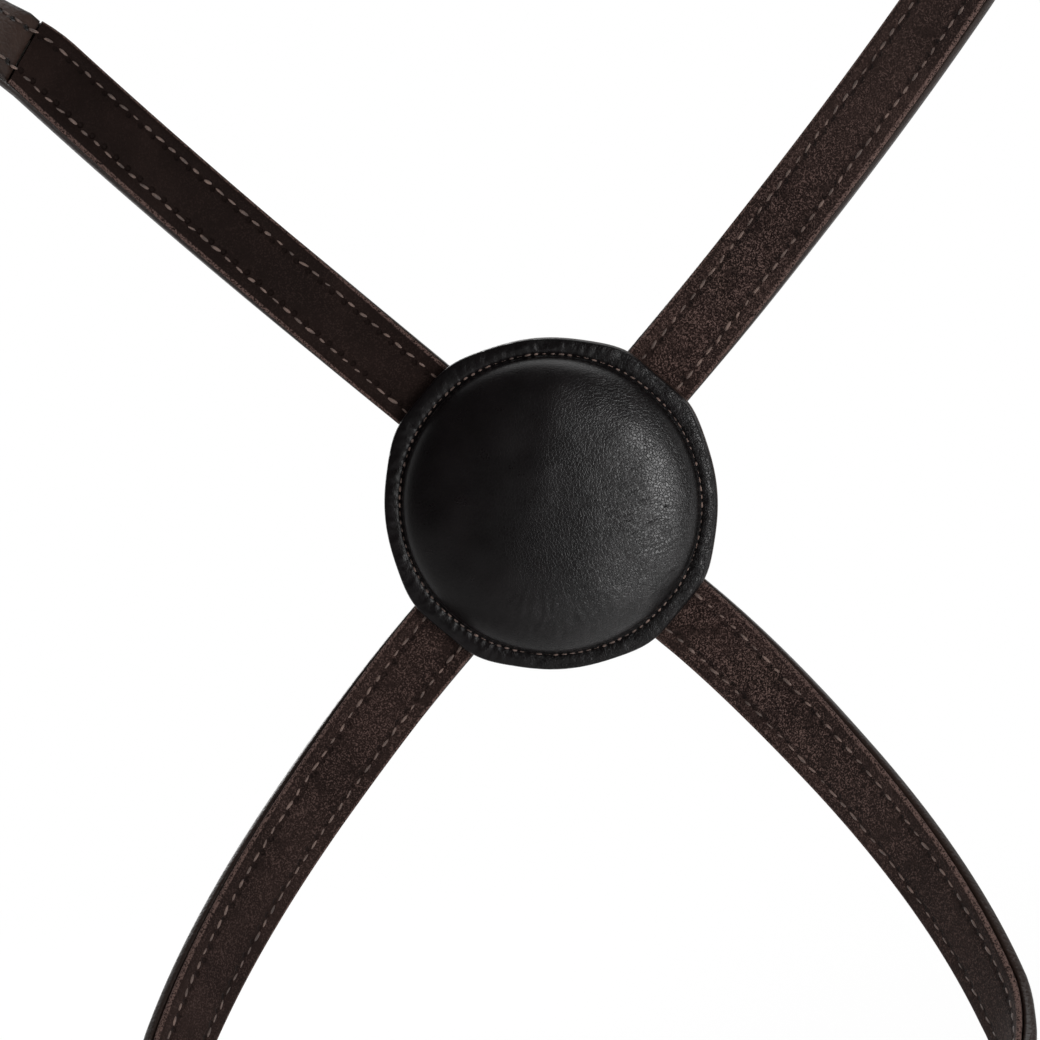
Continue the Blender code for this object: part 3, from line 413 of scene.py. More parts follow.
def closing(frames):
    """The second half of a loop whose first half ends on the middle plane of the head."""
    return [reversed_place(mirrored(f)) for f in reversed(frames[:-1])]


def run(start, length):
    steps = max(2, round(length / ROUTE_STEP))
    return [start @ Matrix.Translation((length * i / steps, 0, 0)) for i in range(steps + 1)]


def turn(start, angle, radius):
    """An arc that bends inwards, away from the show face."""
    steps = max(2, round(abs(angle) * radius / ROUTE_STEP))
    centre = start @ Matrix.Translation((0, 0, -radius))
    return [
        centre @ Matrix.Rotation(angle * i / steps, 4, "Y") @ Matrix.Translation((0, 0, radius))
        for i in range(steps + 1)
    ]


def bend(start, end):
    """A smooth curve between two places, along which the show face turns evenly."""
    a, b = start.translation, end.translation
    handle = (b - a).length / 3
    steps = max(3, round((b - a).length / ROUTE_STEP))
    points = interpolate_bezier(
        a, a + axis_of(start, 0) * handle, b - axis_of(end, 0) * handle, b, steps + 1
    )
    frames = [start]
    for i in range(1, steps):
        out = axis_of(start, 2).lerp(axis_of(end, 2), i / steps)
        frames.append(place(points[i], points[i + 1] - points[i - 1], out))
    return frames + [end]


def chain(*pieces):
    frames = list(pieces[0])
    for piece in pieces[1:]:
        frames += piece[1:]
    return frames


def length_of(frames):
    return sum((b.translation - a.translation).length for a, b in zip(frames, frames[1:]))


class Route:
    """Places along a strap's line, found by their distance from its start."""

    def __init__(self, frames):
        self.frames = frames
        self.marks = [0.0]
        for a, b in zip(frames, frames[1:]):
            self.marks.append(self.marks[-1] + (b.translation - a.translation).length)
        self.length = self.marks[-1]

    def at(self, distance):
        inside = min(max(distance, 0.0), self.length)
        i = min(max(bisect_right(self.marks, inside) - 1, 0), len(self.frames) - 2)
        share = (inside - self.marks[i]) / (self.marks[i + 1] - self.marks[i])
        a, b = self.frames[i], self.frames[i + 1]
        turned = a.to_quaternion().slerp(b.to_quaternion(), share).to_matrix().to_4x4()
        point = a.translation.lerp(b.translation, share)
        return Matrix.Translation(point) @ turned @ Matrix.Translation((distance - inside, 0, 0))


def ring_centre(side):
    return Vector((side * RING_HALF_SPAN, 0, -RING_DROP))


def cone_place(distance, heading):
    """A place on the muzzle's cone, at a distance from the disc along a straight flat strap."""
    cone_sine = (math.pi - CROSSING_ANGLE) / 2 / math.pi
    cone_angle = math.asin(cone_sine)
    sideways = distance * math.sin(heading)
    outwards = CONE_REACH + distance * math.cos(heading)
    reach = math.hypot(sideways, outwards)
    unrolled = math.atan2(sideways, outwards)
    azimuth = unrolled / cone_sine
    ray = Vector((
        cone_sine * math.sin(azimuth),
        cone_sine * math.cos(azimuth),
        math.cos(cone_angle),
    ))
    around = Vector((math.cos(azimuth), -math.sin(azimuth), 0))
    out = around.cross(ray) * -1
    apex_to_disc = Vector((0, cone_sine, math.cos(cone_angle))) * CONE_REACH
    along = ray * math.cos(heading - unrolled) + around * math.sin(heading - unrolled)
    upright = Matrix.Rotation(cone_angle, 3, "X")
    front = Vector((0, DISC_SINK, 0))
    return place(front + upright @ (ray * reach - apex_to_disc), upright @ along, upright @ out)


def cone_lay(first, last, heading):
    steps = round((last - first) / ROUTE_STEP)
    return [cone_place(first + (last - first) * i / steps, heading) for i in range(steps + 1)]


def straight_way(across_a, across_b, ahead):
    """The way between two places of a flat strap that doesn't bend sideways, on the side of ahead."""
    way = across_a.cross(across_b).normalized()
    return way if way.dot(ahead) > 0 else -way


NoseRoute = namedtuple("NoseRoute", "route disc_centre disc_mark chin_mark straight_start")


def nose_route():
    """From the near ring over the disc, round the chin and up to the disc again.

    The route comes with the disc's centre, its distance, the chin's, and where the flat of the chin begins.
    """
    half = CROSSING_ANGLE / 2
    upper = [reversed_place(f) for f in reversed(cone_lay(CONE_JOIN, UPPER_LAY, -half))]
    top = upper[0]
    ring_way = Vector((0, math.cos(NOSE_RING_SLOPE), -math.sin(NOSE_RING_SLOPE)))
    ring_out = Vector((-1, 0, 0))
    way = straight_way(axis_of(top, 1), ring_out.cross(ring_way), axis_of(top, 0))
    run_end = top.translation - way * (top.translation.x + RING_HALF_SPAN) / way.x
    ring_run = run(place(run_end - ring_way * NOSE_RING_RUN, ring_way, ring_out), NOSE_RING_RUN)
    crossing = Vector((math.sin(half), 0, -math.cos(half)))
    over_disc = run(place(-crossing * FLAT_RUN, crossing, Vector((0, 1, 0))), 2 * FLAT_RUN)
    lower = cone_lay(CONE_JOIN, LOWER_LAY, math.pi - half)
    back = Vector((0, -math.cos(CHIN_SLOPE), -math.sin(CHIN_SLOPE)))
    inward = Vector((-math.sin(CHIN_LEAN), 0, 0)) + back * math.cos(CHIN_LEAN)
    outward = Vector((math.cos(CHIN_LEAN), 0, 0)) + back * math.sin(CHIN_LEAN)
    way = straight_way(axis_of(lower[-1], 1), outward.cross(inward), inward)
    side = lower[-1].translation + way * CHIN_BEND_RUN
    chin_run = run(place(side, inward, outward), CHIN_STRAIGHT)
    chin_radius = chin_run[-1].translation.x / math.cos(CHIN_LEAN)
    chin_turn = turn(chin_run[-1], math.pi / 2 - CHIN_LEAN, chin_radius)
    to_disc = chain(ring_run, bend(ring_run[-1], top), upper, bend(upper[-1], over_disc[0]))
    to_chin = chain(over_disc, bend(over_disc[-1], lower[0]), lower, bend(lower[-1], chin_run[0]),
                    chin_run, chin_turn)
    disc_mark = length_of(to_disc) + FLAT_RUN
    chin_mark = length_of(to_disc) + length_of(to_chin)
    straight_start = chin_mark - length_of(chin_turn) - length_of(chin_run)
    disc_centre = ring_centre(-1) - ring_run[0].translation
    frames = chain(to_disc, to_chin, [to_chin[-1]] + closing(to_chin))
    placed = [Matrix.Translation(disc_centre) @ f for f in frames]
    return NoseRoute(Route(placed), disc_centre, disc_mark, chin_mark, straight_start)


def jaw_route():
    way = Vector((0, -math.cos(JAW_SLOPE), -math.sin(JAW_SLOPE)))
    ring = place(ring_centre(-1), way, Vector((-1, 0, 0)))
    ring_run = run(ring, JAW_RING_RUN)
    lean = turn(ring_run[-1], JAW_LEAN, JAW_LEAN_RADIUS)
    straight = run(lean[-1], JAW_STRAIGHT)
    radius = -straight[-1].translation.x / math.cos(JAW_LEAN)
    half = chain(ring_run, lean, straight, turn(straight[-1], math.pi / 2 - JAW_LEAN, radius))
    return Route(chain(half, [half[-1]] + closing(half))), length_of(chain(ring_run, lean))


def head_route():
    """From the near ring up the cheek, over the poll and down to the off ring, its crown level."""
    ring = place(ring_centre(-1), Vector((0, 0, 1)), Vector((-1, 0, 0)))
    ring_run = run(ring, HEAD_RING_RUN)
    lean = turn(ring_run[-1], HEAD_LEAN, HEAD_LEAN_RADIUS)
    sine, cosine = math.sin(HEAD_LEAN), math.cos(HEAD_LEAN)
    reach = -lean[-1].translation.x - CROWN_FLAT / 2
    rise = -lean[-1].translation.z - CLEARANCE / 2
    side = (rise - reach * (1 - sine) / cosine) / (cosine - sine * (1 - sine) / cosine)
    straight = run(lean[-1], side)
    radius = (reach - side * sine) / cosine
    arch = turn(straight[-1], math.pi / 2 - HEAD_LEAN, radius)
    half = chain(ring_run, lean, straight, arch, run(arch[-1], CROWN_FLAT / 2))
    return Route(chain(half, [half[-1]] + closing(half)))


def eased(knots, x):
    """The value at x of a curve that passes smoothly through knots, sorted by their place."""
    if x <= knots[0][0]:
        return knots[0][1]
    for (a, low), (b, high) in zip(knots, knots[1:]):
        if x <= b:
            share = (x - a) / (b - a)
            return low + (high - low) * share * share * (3 - 2 * share)
    return knots[-1][1]


def bell(x, width):
    """1 where x is 0, and less on both sides of it."""
    return math.exp(-(x / width) ** 2)


def spread(start, end, *knot_lists):
    """Even distances from start to end, closer together where a curve of knots climbs."""
    low, high = min(start, end), max(start, end)
    steps = max(1, round((high - low) / ROW_STEP))
    marks = [low + (high - low) * i / steps for i in range(steps + 1)]
    for knots in knot_lists:
        for (a, before), (b, after) in zip(knots, knots[1:]):
            if before != after:
                marks += [a + (b - a) * i / RAMP_STEPS for i in range(RAMP_STEPS + 1)]
    marks = sorted(x for x in marks if low <= x <= high)
    kept = [marks[0]]
    for x in marks[1:-1]:
        if x - kept[-1] > ROW_STEP / 4 and high - x > ROW_STEP / 4:
            kept.append(x)
    kept.append(marks[-1])
    return kept if start < end else kept[::-1]


# Sections


def section(half, low, high, spots, lift=None, sink=None):
    """Points round a strap's section: its underside, an edge, its show face and the other edge.

    spots are places across, as shares of the flat half width from 0 to 1. lift raises the show face and
    sink the underside at a distance from the middle.
    """
    edge = min(settings().leather.edge_round, (high - low) * EDGE_OF_THICKNESS, half * EDGE_OF_WIDTH)
    flat = half - edge
    across = [-flat * s for s in reversed(spots[1:])] + [flat * s for s in spots]
    points = [(y, low + (sink(abs(y)) if sink else 0)) for y in across]
    angles = [math.pi / 2 * i / EDGE_STEPS for i in range(EDGE_STEPS + 1)]
    arc = [(math.cos(angle), math.sin(angle)) for angle in angles]
    right = [(flat + edge * c, low + edge - edge * s) for c, s in reversed(arc[:-1])]
    right += [(flat + edge * c, high - edge + edge * s) for c, s in arc[:-1]]
    points += right
    points += [(y, high + (lift(abs(y)) if lift else 0)) for y in reversed(across)]
    points += [(-y, z) for y, z in reversed(right)]
    return points


def plain_spots():
    return [i / PLAIN_COLUMNS for i in range(PLAIN_COLUMNS + 1)]


def stitched_spots():
    """Places across a nose strap: over its hump, then either side of its stitch row and on to the edge."""
    half = STRAP_WIDTH / 2
    row = half - settings().stitches.inset
    raised = RAISE_HALF_WIDTH + RAISE_WALL
    groove = settings().stitches.width
    inner = [raised * math.sin(math.pi / 2 * i / HUMP_COLUMNS) for i in range(HUMP_COLUMNS)]
    outer = [row + (half - row) * share for share in OUTER_COLUMNS]
    return [y / half for y in inner + [row - groove, row, row + groove] + outer]


def hump(width, rise):
    def lift(y):
        return rise * math.sqrt(max(0.0, 1 - (y / width) ** 2))
    return lift


def groove_at(y):
    """How deep a stitch row is drawn in, at a distance from the middle of a wide strap."""
    row = STRAP_WIDTH / 2 - settings().stitches.inset
    return settings().leather.groove_depth * bell(y - row, settings().stitches.width)


def swept(name, rows, finish, closed=False):
    """A solid drawn through rows of a place, a section, a distance along and how much it is sewn.

    Each vertex keeps the distance along, the distance in from the edge and the sewn share.
    """
    if closed:
        rows = rows + rows[:1]
    columns = len(rows[0][1])
    bm = bmesh.new()
    strap = bm.verts.layers.float_vector.new("strap")
    bmesh.ops.create_grid(bm, x_segments=columns, y_segments=len(rows) - 1, size=1)
    for vert in bm.verts:
        i = round((vert.co.x + 1) / 2 * columns) % columns
        j = round((vert.co.y + 1) / 2 * (len(rows) - 1))
        matrix, points, along, sewn = rows[j]
        half = max(y for y, z in (points[0], points[columns // 4], points[columns // 2 - 1]))
        y, z = points[i]
        vert[strap] = (along, max(0.0, half - abs(y)), sewn)
        vert.co = matrix @ Vector((0, y, z))
    bmesh.ops.remove_doubles(bm, verts=bm.verts[:], dist=MERGE)
    if not closed:
        bmesh.ops.holes_fill(bm, edges=[e for e in bm.edges if e.is_boundary], sides=0)
    return finished(name, bm, finish)


def finished(name, bm, finish):
    bmesh.ops.recalc_face_normals(bm, faces=bm.faces[:])
    mesh = bpy.data.meshes.new(name)
    bm.to_mesh(mesh)
    bm.free()
    mesh.shade_smooth()
    mesh.set_sharp_from_angle(angle=SMOOTH_LIMIT)
    mesh.materials.append(finish)
    obj = bpy.data.objects.new(name, mesh)
    bpy.context.scene.collection.objects.link(obj)
    return obj


def carve(obj, cutter_bm):
    """Takes a shape out of a finished mesh."""
    cutter = finished("cutter", cutter_bm, obj.data.materials[0])
    modifier = obj.modifiers.new("carve", "BOOLEAN")
    modifier.operation = "DIFFERENCE"
    modifier.solver = "EXACT"
    modifier.object = cutter
    carved = bpy.data.meshes.new_from_object(obj.evaluated_get(bpy.context.evaluated_depsgraph_get()))
    obj.modifiers.clear()
    old = obj.data
    obj.data = carved
    bpy.data.meshes.remove(old)
    carved.name = obj.name
    bpy.data.objects.remove(cutter, do_unlink=True)


def settle(obj, body, slot, *nodes):
    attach(obj, body)
    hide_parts(*nodes)


# Turned-back ends and buckles


def ring_pin(width):
    """How far from a ring's centre the bend of a fold lies, so that it clears the wire at its edges."""
    return math.sqrt((RING_RADIUS - RING_WIRE_RADIUS) ** 2 - (width / 2) ** 2) + RING_WIRE_RADIUS


def ring_knots(width):
    hold = RING_WIRE_RADIUS + CLEARANCE
    straight = RING_RADIUS + hold - ring_pin(width)
    return [(0.0, hold), (straight, hold), (straight + RING_RAMP, CLEARANCE / 2)]


def skive_knots(leather):
    return [(FOLD_STRAIGHT, leather), (FOLD_STRAIGHT + SKIVE_RUN, LINING_LEATHER)]


class Buckle:
    """The sizes of one buckle: where its heel bar lies, its strap's width and the two leathers."""

    def __init__(self, name, route, bar, width, leather, billet, lined):
        self.name = name
        self.route = route
        self.bar = bar
        self.half = width / 2
        self.leather = leather
        self.billet = billet
        self.centre = route.at(bar)
        self.hold = BAR_RADIUS + CLEARANCE
        self.under_frame = FRAME_RISE - BAR_RADIUS - CLEARANCE - billet
        self.over_fold = self.hold + leather + CLEARANCE
        self.over_strap = CLEARANCE / 2 + leather + CLEARANCE
        self.rail = self.half + RAIL_CLEARANCE + BAR_RADIUS
        self.tail_length = LINED_BUCKLE_TAIL if lined else BUCKLE_TAIL

    def billet_knots(self):
        """How high the billet's inner face lies, by distance from the heel bar towards the far bar."""
        return [
            (-BILLET_DOWN, self.over_strap), (-BILLET_OVER, self.over_fold), (BILLET_OVER, self.over_fold),
            (BILLET_FLAT_UNDER, self.under_frame), (BILLET_LEVEL_END, self.under_frame),
            (BILLET_LEVEL_END + BILLET_SETTLE, CLEARANCE / 2),
        ]

    def strap_knots(self):
        return [(0.0, self.hold), (FOLD_STRAIGHT, self.hold), (FOLD_STRAIGHT + BAR_RAMP, CLEARANCE / 2)]

    def tail_knots(self):
        """The tail dips under the fixed keeper's back leg and then lies against the strap."""
        leg = CLEARANCE / 2 + KEEPER_BACK + CLEARANCE
        near, far = KEEPER_PLACE - KEEPER_WIDTH / 2, KEEPER_PLACE + KEEPER_WIDTH / 2
        return [
            (0.0, self.hold), (FOLD_STRAIGHT, self.hold), (near - CLEARANCE, leg), (far + CLEARANCE, leg),
            (far + TAIL_RISE_RUN, CLEARANCE / 2),
        ]

    def tongue_line(self, steps):
        """The tongue's line: its eye round the bar, then up through the billet and on to the far bar."""
        eye = self.hold + TONGUE_RADIUS
        count = 3 * steps
        turned = 2 * math.pi - EYE_OPENING + EYE_END
        points = []
        for i in range(count + 1):
            angle = EYE_OPENING + turned * i / count
            points.append(Vector((eye * math.cos(angle), 0, eye * math.sin(angle))))
        rest = FRAME_RISE + BAR_RADIUS + CLEARANCE + TONGUE_RADIUS
        foot = Vector((eye + 2 * TONGUE_RADIUS, 0, -TONGUE_RADIUS / 2))
        shoulder = FRAME_REACH - BAR_RADIUS
        climb = [(foot.x, foot.z), (shoulder, rest)]
        points += [foot]
        for i in range(1, 2 * steps + 1):
            x = foot.x + (shoulder - foot.x) * i / (2 * steps)
            points.append(Vector((x, 0, eased(climb, x))))
        points.append(Vector((FRAME_REACH + TONGUE_OVERHANG, 0, rest)))
        return points

    def tongue_crossing(self):
        """How far from the heel bar the tongue passes through the middle of the billet."""
        knots = self.billet_knots()
        points = [p for p in self.tongue_line(CORNER_STEPS) if p.x > BILLET_OVER]
        for a, b in zip(points, points[1:]):
            over_a = a.z - eased(knots, a.x) - self.billet / 2
            over_b = b.z - eased(knots, b.x) - self.billet / 2
            if over_a < 0 <= over_b:
                return a.x + (b.x - a.x) * over_a / (over_a - over_b)
        return (BILLET_OVER + BILLET_FLAT_UNDER) / 2


def chin_buckle():
    nose = nose_route()
    off_route = Route([mirrored(f) for f in nose.route.frames])
    bar = nose.straight_start + STRAIGHT_BEHIND_BAR
    return Buckle("chin", off_route, bar, STRAP_WIDTH, OUTER_LEATHER, BILLET_LEATHER, True)


def jaw_buckle():
    route, straight_start = jaw_route()
    bar = straight_start + STRAIGHT_BEHIND_BAR
    return Buckle("jaw", route, bar, STRAP_WIDTH, JAW_LEATHER, JAW_LEATHER, False)


def cheek_buckle():
    return Buckle("cheek", head_route(), CHEEK_BUCKLE_RISE, HEAD_WIDTH, HEAD_LEATHER, HEAD_LEATHER, False)


def fold_rows(route, pin, way, hold, leather, half, spots):
    """Rows round a pin that the strap is turned back on."""
    centre = route.at(pin)
    rows = []
    for i in range(1, FOLD_STEPS):
        angle = -way * (math.pi - math.pi * i / FOLD_STEPS)
        turned = centre @ Matrix.Rotation(angle, 4, "Y")
        rows.append((turned, section(half, hold, hold + leather, spots), pin, 0.0))
    return rows


def tail_rows(route, pin, way, length, inner, thick, half, spots, sewn_from):
    """Rows of a turned-back tail under the strap, from its thin rounded end to the pin."""
    rows = []
    for q in spread(length, 0, inner, thick):
        under = route.at(pin + way * q) @ Matrix.Rotation(math.pi, 4, "Y")
        low = eased(inner, q)
        close = min(1.0, (length - q) / ROW_STEP + TAIL_END_THICKNESS)
        width = half * (1 - TAIL_END_NARROWING * (1 - close))
        points = section(width, low, low + eased(thick, q) * close, spots)
        rows.append((under, points, pin + way * q, 1.0 if q > sewn_from else 0.0))
    return rows


def ring_turnback(route, pin, way, leather, width, spots):
    half = width / 2
    hold = RING_WIRE_RADIUS + CLEARANCE
    knots = ring_knots(width)
    rows = tail_rows(route, pin, way, RING_TAIL, knots, skive_knots(leather), half, spots, knots[-1][0])
    return rows + fold_rows(route, pin, way, hold, leather, half, spots)


def bar_turnback(buckle, spots):
    """The bend on a heel bar and the tail behind it, from the strap's last row to the tail's end."""
    sewn_from = KEEPER_PLACE + KEEPER_WIDTH
    tail = tail_rows(buckle.route, buckle.bar, -1, buckle.tail_length, buckle.tail_knots(),
                     skive_knots(buckle.leather), buckle.half, spots, sewn_from)
    fold = fold_rows(buckle.route, buckle.bar, -1, buckle.hold, buckle.leather, buckle.half, spots)
    return list(reversed(tail + fold))


def billet_end_rows(route, mark, buckle, way, start, thick, half, spots):
    """Rows of a strap's plain end, from the distance start through the buckle to its rounded point."""
    shifted = sorted((mark + way * x, value) for x, value in buckle.billet_knots())
    tip_start = mark - way * (BILLET_TIP - TIP_LENGTH)
    rows = []
    for d in spread(start, tip_start, shifted, thick):
        low = eased(shifted, d)
        rows.append((route.at(d), section(half, low, low + eased(thick, d), spots), d, 0.0))
    for i in range(1, TIP_STEPS + 1):
        share = math.sin(math.pi / 2 * i / TIP_STEPS)
        d = tip_start - way * TIP_LENGTH * share
        width = half * max(TIP_SHARE, math.sqrt(1 - share ** TIP_POWER))
        low = eased(shifted, d)
        rows.append((route.at(d), section(width, low, low + eased(thick, d), spots), d, 0.0))
    return rows


def tongue_slot(buckle):
    """The shape cut out of a fold for the tongue's eye."""
    half = TONGUE_RADIUS + TONGUE_SLOT_CLEARANCE
    front = buckle.hold + buckle.leather + CUT_OVERRUN
    back = buckle.hold + 2 * TONGUE_RADIUS + CLEARANCE
    bm = bmesh.new()
    bmesh.ops.create_cube(bm, size=1)
    bmesh.ops.scale(bm, vec=(back + front, 2 * half, 2 * front), verts=bm.verts[:])
    bmesh.ops.translate(bm, vec=((front - back) / 2, 0, 0), verts=bm.verts[:])
    upright = [e for e in bm.edges if abs((e.verts[0].co - e.verts[1].co).z) > front]
    bmesh.ops.bevel(bm, geom=upright, offset=half * SLOT_ROUND, segments=SLOT_CORNER_STEPS, profile=0.5,
                    affect="EDGES", material=-1)
    bmesh.ops.transform(bm, matrix=buckle.centre, verts=bm.verts[:])
    return bm


def billet_holes(buckle):
    """Oval holes along a billet, one of them where the tongue stands."""
    knots = buckle.billet_knots()
    first = buckle.tongue_crossing() - HOLE_SHIFT
    bm = bmesh.new()
    for n in range(-HOLES_TO_TIP, HOLES_TO_STRAP + 1):
        x = first + n * HOLE_PITCH
        spots = [
            (buckle.route.at(buckle.bar + s) @ Vector((0, 0, eased(knots, s) + buckle.billet / 2)))
            for s in (x - HOLE_WIDTH, x, x + HOLE_WIDTH)
        ]
        stand = place(spots[1], spots[2] - spots[0], axis_of(buckle.route.at(buckle.bar + x), 2))
        shape = Matrix.Diagonal((HOLE_LENGTH / 2, HOLE_WIDTH / 2, buckle.billet + CUT_OVERRUN, 1))
        bmesh.ops.create_cone(bm, cap_ends=True, segments=HOLE_SEGMENTS, radius1=1, radius2=1, depth=1,
                              matrix=stand @ shape)
    return bm


# Materials


def node(tree, kind, inputs=None, **attributes):
    made = tree.nodes.new("ShaderNode" + kind)
    for key, value in attributes.items():
        setattr(made, key, value)
    for key, value in (inputs or {}).items():
        socket = made.inputs[key]
        if isinstance(value, bpy.types.NodeSocket):
            tree.links.new(value, socket)
        else:
            socket.default_value = value
    return made


def calc(tree, operation, a, b=0.0, clamp=False):
    return node(tree, "Math", {0: a, 1: b}, operation=operation, use_clamp=clamp).outputs[0]


def times(tree, a, b, clamp=False):
    return calc(tree, "MULTIPLY", a, b, clamp)


def plus(tree, a, b, clamp=False):
    return calc(tree, "ADD", a, b, clamp)


def blend(tree, factor, a, b):
    """A colour between a and b."""
    made = node(tree, "Mix", {0: factor, 6: a, 7: b}, data_type="RGBA")
    return made.outputs[2]


def fade(tree, value, start, end):
    """0 at start, 1 at end, smooth between."""
    inputs = {0: value, 1: start, 2: end, 3: 0.0, 4: 1.0}
    return node(tree, "MapRange", inputs, interpolation_type="SMOOTHSTEP").outputs[0]


def noise_of(tree, vector, scale, detail=3.0, roughness=0.55):
    inputs = {"Vector": vector, "Scale": scale, "Detail": detail, "Roughness": roughness}
    return node(tree, "TexNoise", inputs).outputs["Fac"]


def cells_of(tree, vector, scale, feature):
    made = node(tree, "TexVoronoi", {"Vector": vector, "Scale": scale}, feature=feature)
    if feature == "SMOOTH_F1":
        made.inputs["Smoothness"].default_value = CELL_SMOOTHNESS
    return made.outputs["Distance"]


def tint(colour, share=1.0):
    return (colour[0] * share, colour[1] * share, colour[2] * share, 1.0)


class Finish:
    """A material with its shader, and the coordinates that its patterns read."""

    def __init__(self, name):
        self.material = bpy.data.materials.new(DRESSED + name)
        self.material.use_nodes = True
        self.tree = self.material.node_tree
        self.shader = self.tree.nodes["Principled BSDF"]
        self.where = node(self.tree, "TexCoord").outputs["Object"]

    def strap_attribute(self):
        """Distance along, distance in from the edge and how much it is sewn."""
        read = node(self.tree, "Attribute", attribute_name="strap")
        split = node(self.tree, "SeparateXYZ", {0: read.outputs["Vector"]})
        return split.outputs

    def close(self, colour, roughness, bumps, sheen=0.0, specular=0.5, metallic=0.0, coat=0.0):
        tree = self.tree
        tree.links.new(colour, self.shader.inputs["Base Color"])
        tree.links.new(roughness, self.shader.inputs["Roughness"])
        self.shader.inputs["Metallic"].default_value = metallic
        self.shader.inputs["Specular IOR Level"].default_value = specular
        self.shader.inputs["Sheen Weight"].default_value = sheen
        self.shader.inputs["Sheen Roughness"].default_value = SHEEN_ROUGHNESS
        if isinstance(coat, bpy.types.NodeSocket):
            tree.links.new(coat, self.shader.inputs["Coat Weight"])
        else:
            self.shader.inputs["Coat Weight"].default_value = coat
        self.shader.inputs["Coat Roughness"].default_value = COAT_ROUGHNESS
        normal = None
        for height, distance in bumps:
            inputs = {"Height": height, "Distance": distance, "Strength": 1.0}
            if normal is not None:
                inputs["Normal"] = normal
            normal = node(tree, "Bump", inputs).outputs["Normal"]
        tree.links.new(normal, self.shader.inputs["Normal"])
        tree.links.new(normal, self.shader.inputs["Coat Normal"])
        return self.material


def stitch_marks(made):
    """Two masks from the strap attribute: the drawn-in row and the needle holes along it."""
    tree = made.tree
    along, inwards, sewn = made.strap_attribute()
    stitches = settings().stitches
    off_row = calc(tree, "ABSOLUTE", calc(tree, "SUBTRACT", inwards, stitches.inset))
    row = times(tree, fade(tree, off_row, stitches.width * 1.3, 0.0), sewn)
    off_hole = calc(tree, "PINGPONG", along, stitches.pitch / 2)
    apart = calc(tree, "SQRT", plus(tree, times(tree, off_row, off_row), times(tree, off_hole, off_hole)))
    hole = times(tree, fade(tree, apart, stitches.width * 1.05, stitches.width * 0.45), sewn)
    return row, hole, inwards


def strap_leather(name="strap_leather", with_rows=True):
    """Dark brown bridle leather: smooth, with fine pores, burnished edges and a little wear."""
    made = Finish(name)
    tree, where = made.tree, made.where
    base = settings().leather.strap_colour
    clouds = noise_of(tree, where, 34.0)
    fine = noise_of(tree, where, 700.0, 4.0, 0.6)
    pores = cells_of(tree, where, 1500.0, "SMOOTH_F1")
    creases = cells_of(tree, where, 520.0, "DISTANCE_TO_EDGE")
    colour = blend(tree, fade(tree, clouds, 0.35, 0.7), tint(base, 0.72), tint(base, 1.35))
    pale = times(tree, fade(tree, fine, 0.5, 0.8), 0.35)
    colour = blend(tree, pale, colour, tint(base, 2.2))
    bumps = [
        (plus(tree, times(tree, pores, 0.6), times(tree, fine, 0.5)), 0.00009),
        (fade(tree, creases, 0.0, 0.12), 0.00002),
    ]
    rough = plus(tree, times(tree, clouds, 0.16), times(tree, fine, 0.14))
    rough = plus(tree, rough, 0.28)
    if with_rows:
        row, hole, inwards = stitch_marks(made)
        edge = fade(tree, inwards, 0.0009, 0.0002)
        colour = blend(tree, times(tree, edge, 0.75), colour, tint(base, 0.35))
        # Painted shade: the leather is darkened along the drawn-in stitch row
        colour = blend(tree, times(tree, row, 0.5), colour, tint(base, 0.4))
        # Painted shade: the needle holes are coloured almost black; the bump below dents them
        colour = blend(tree, hole, colour, tint(base, 0.08))
        bumps.append((calc(tree, "SUBTRACT", 0.0, hole), 0.0005))
        rough = calc(tree, "SUBTRACT", rough, times(tree, edge, 0.1), clamp=True)
    return made.close(colour, rough, bumps, specular=0.24, coat=0.05)


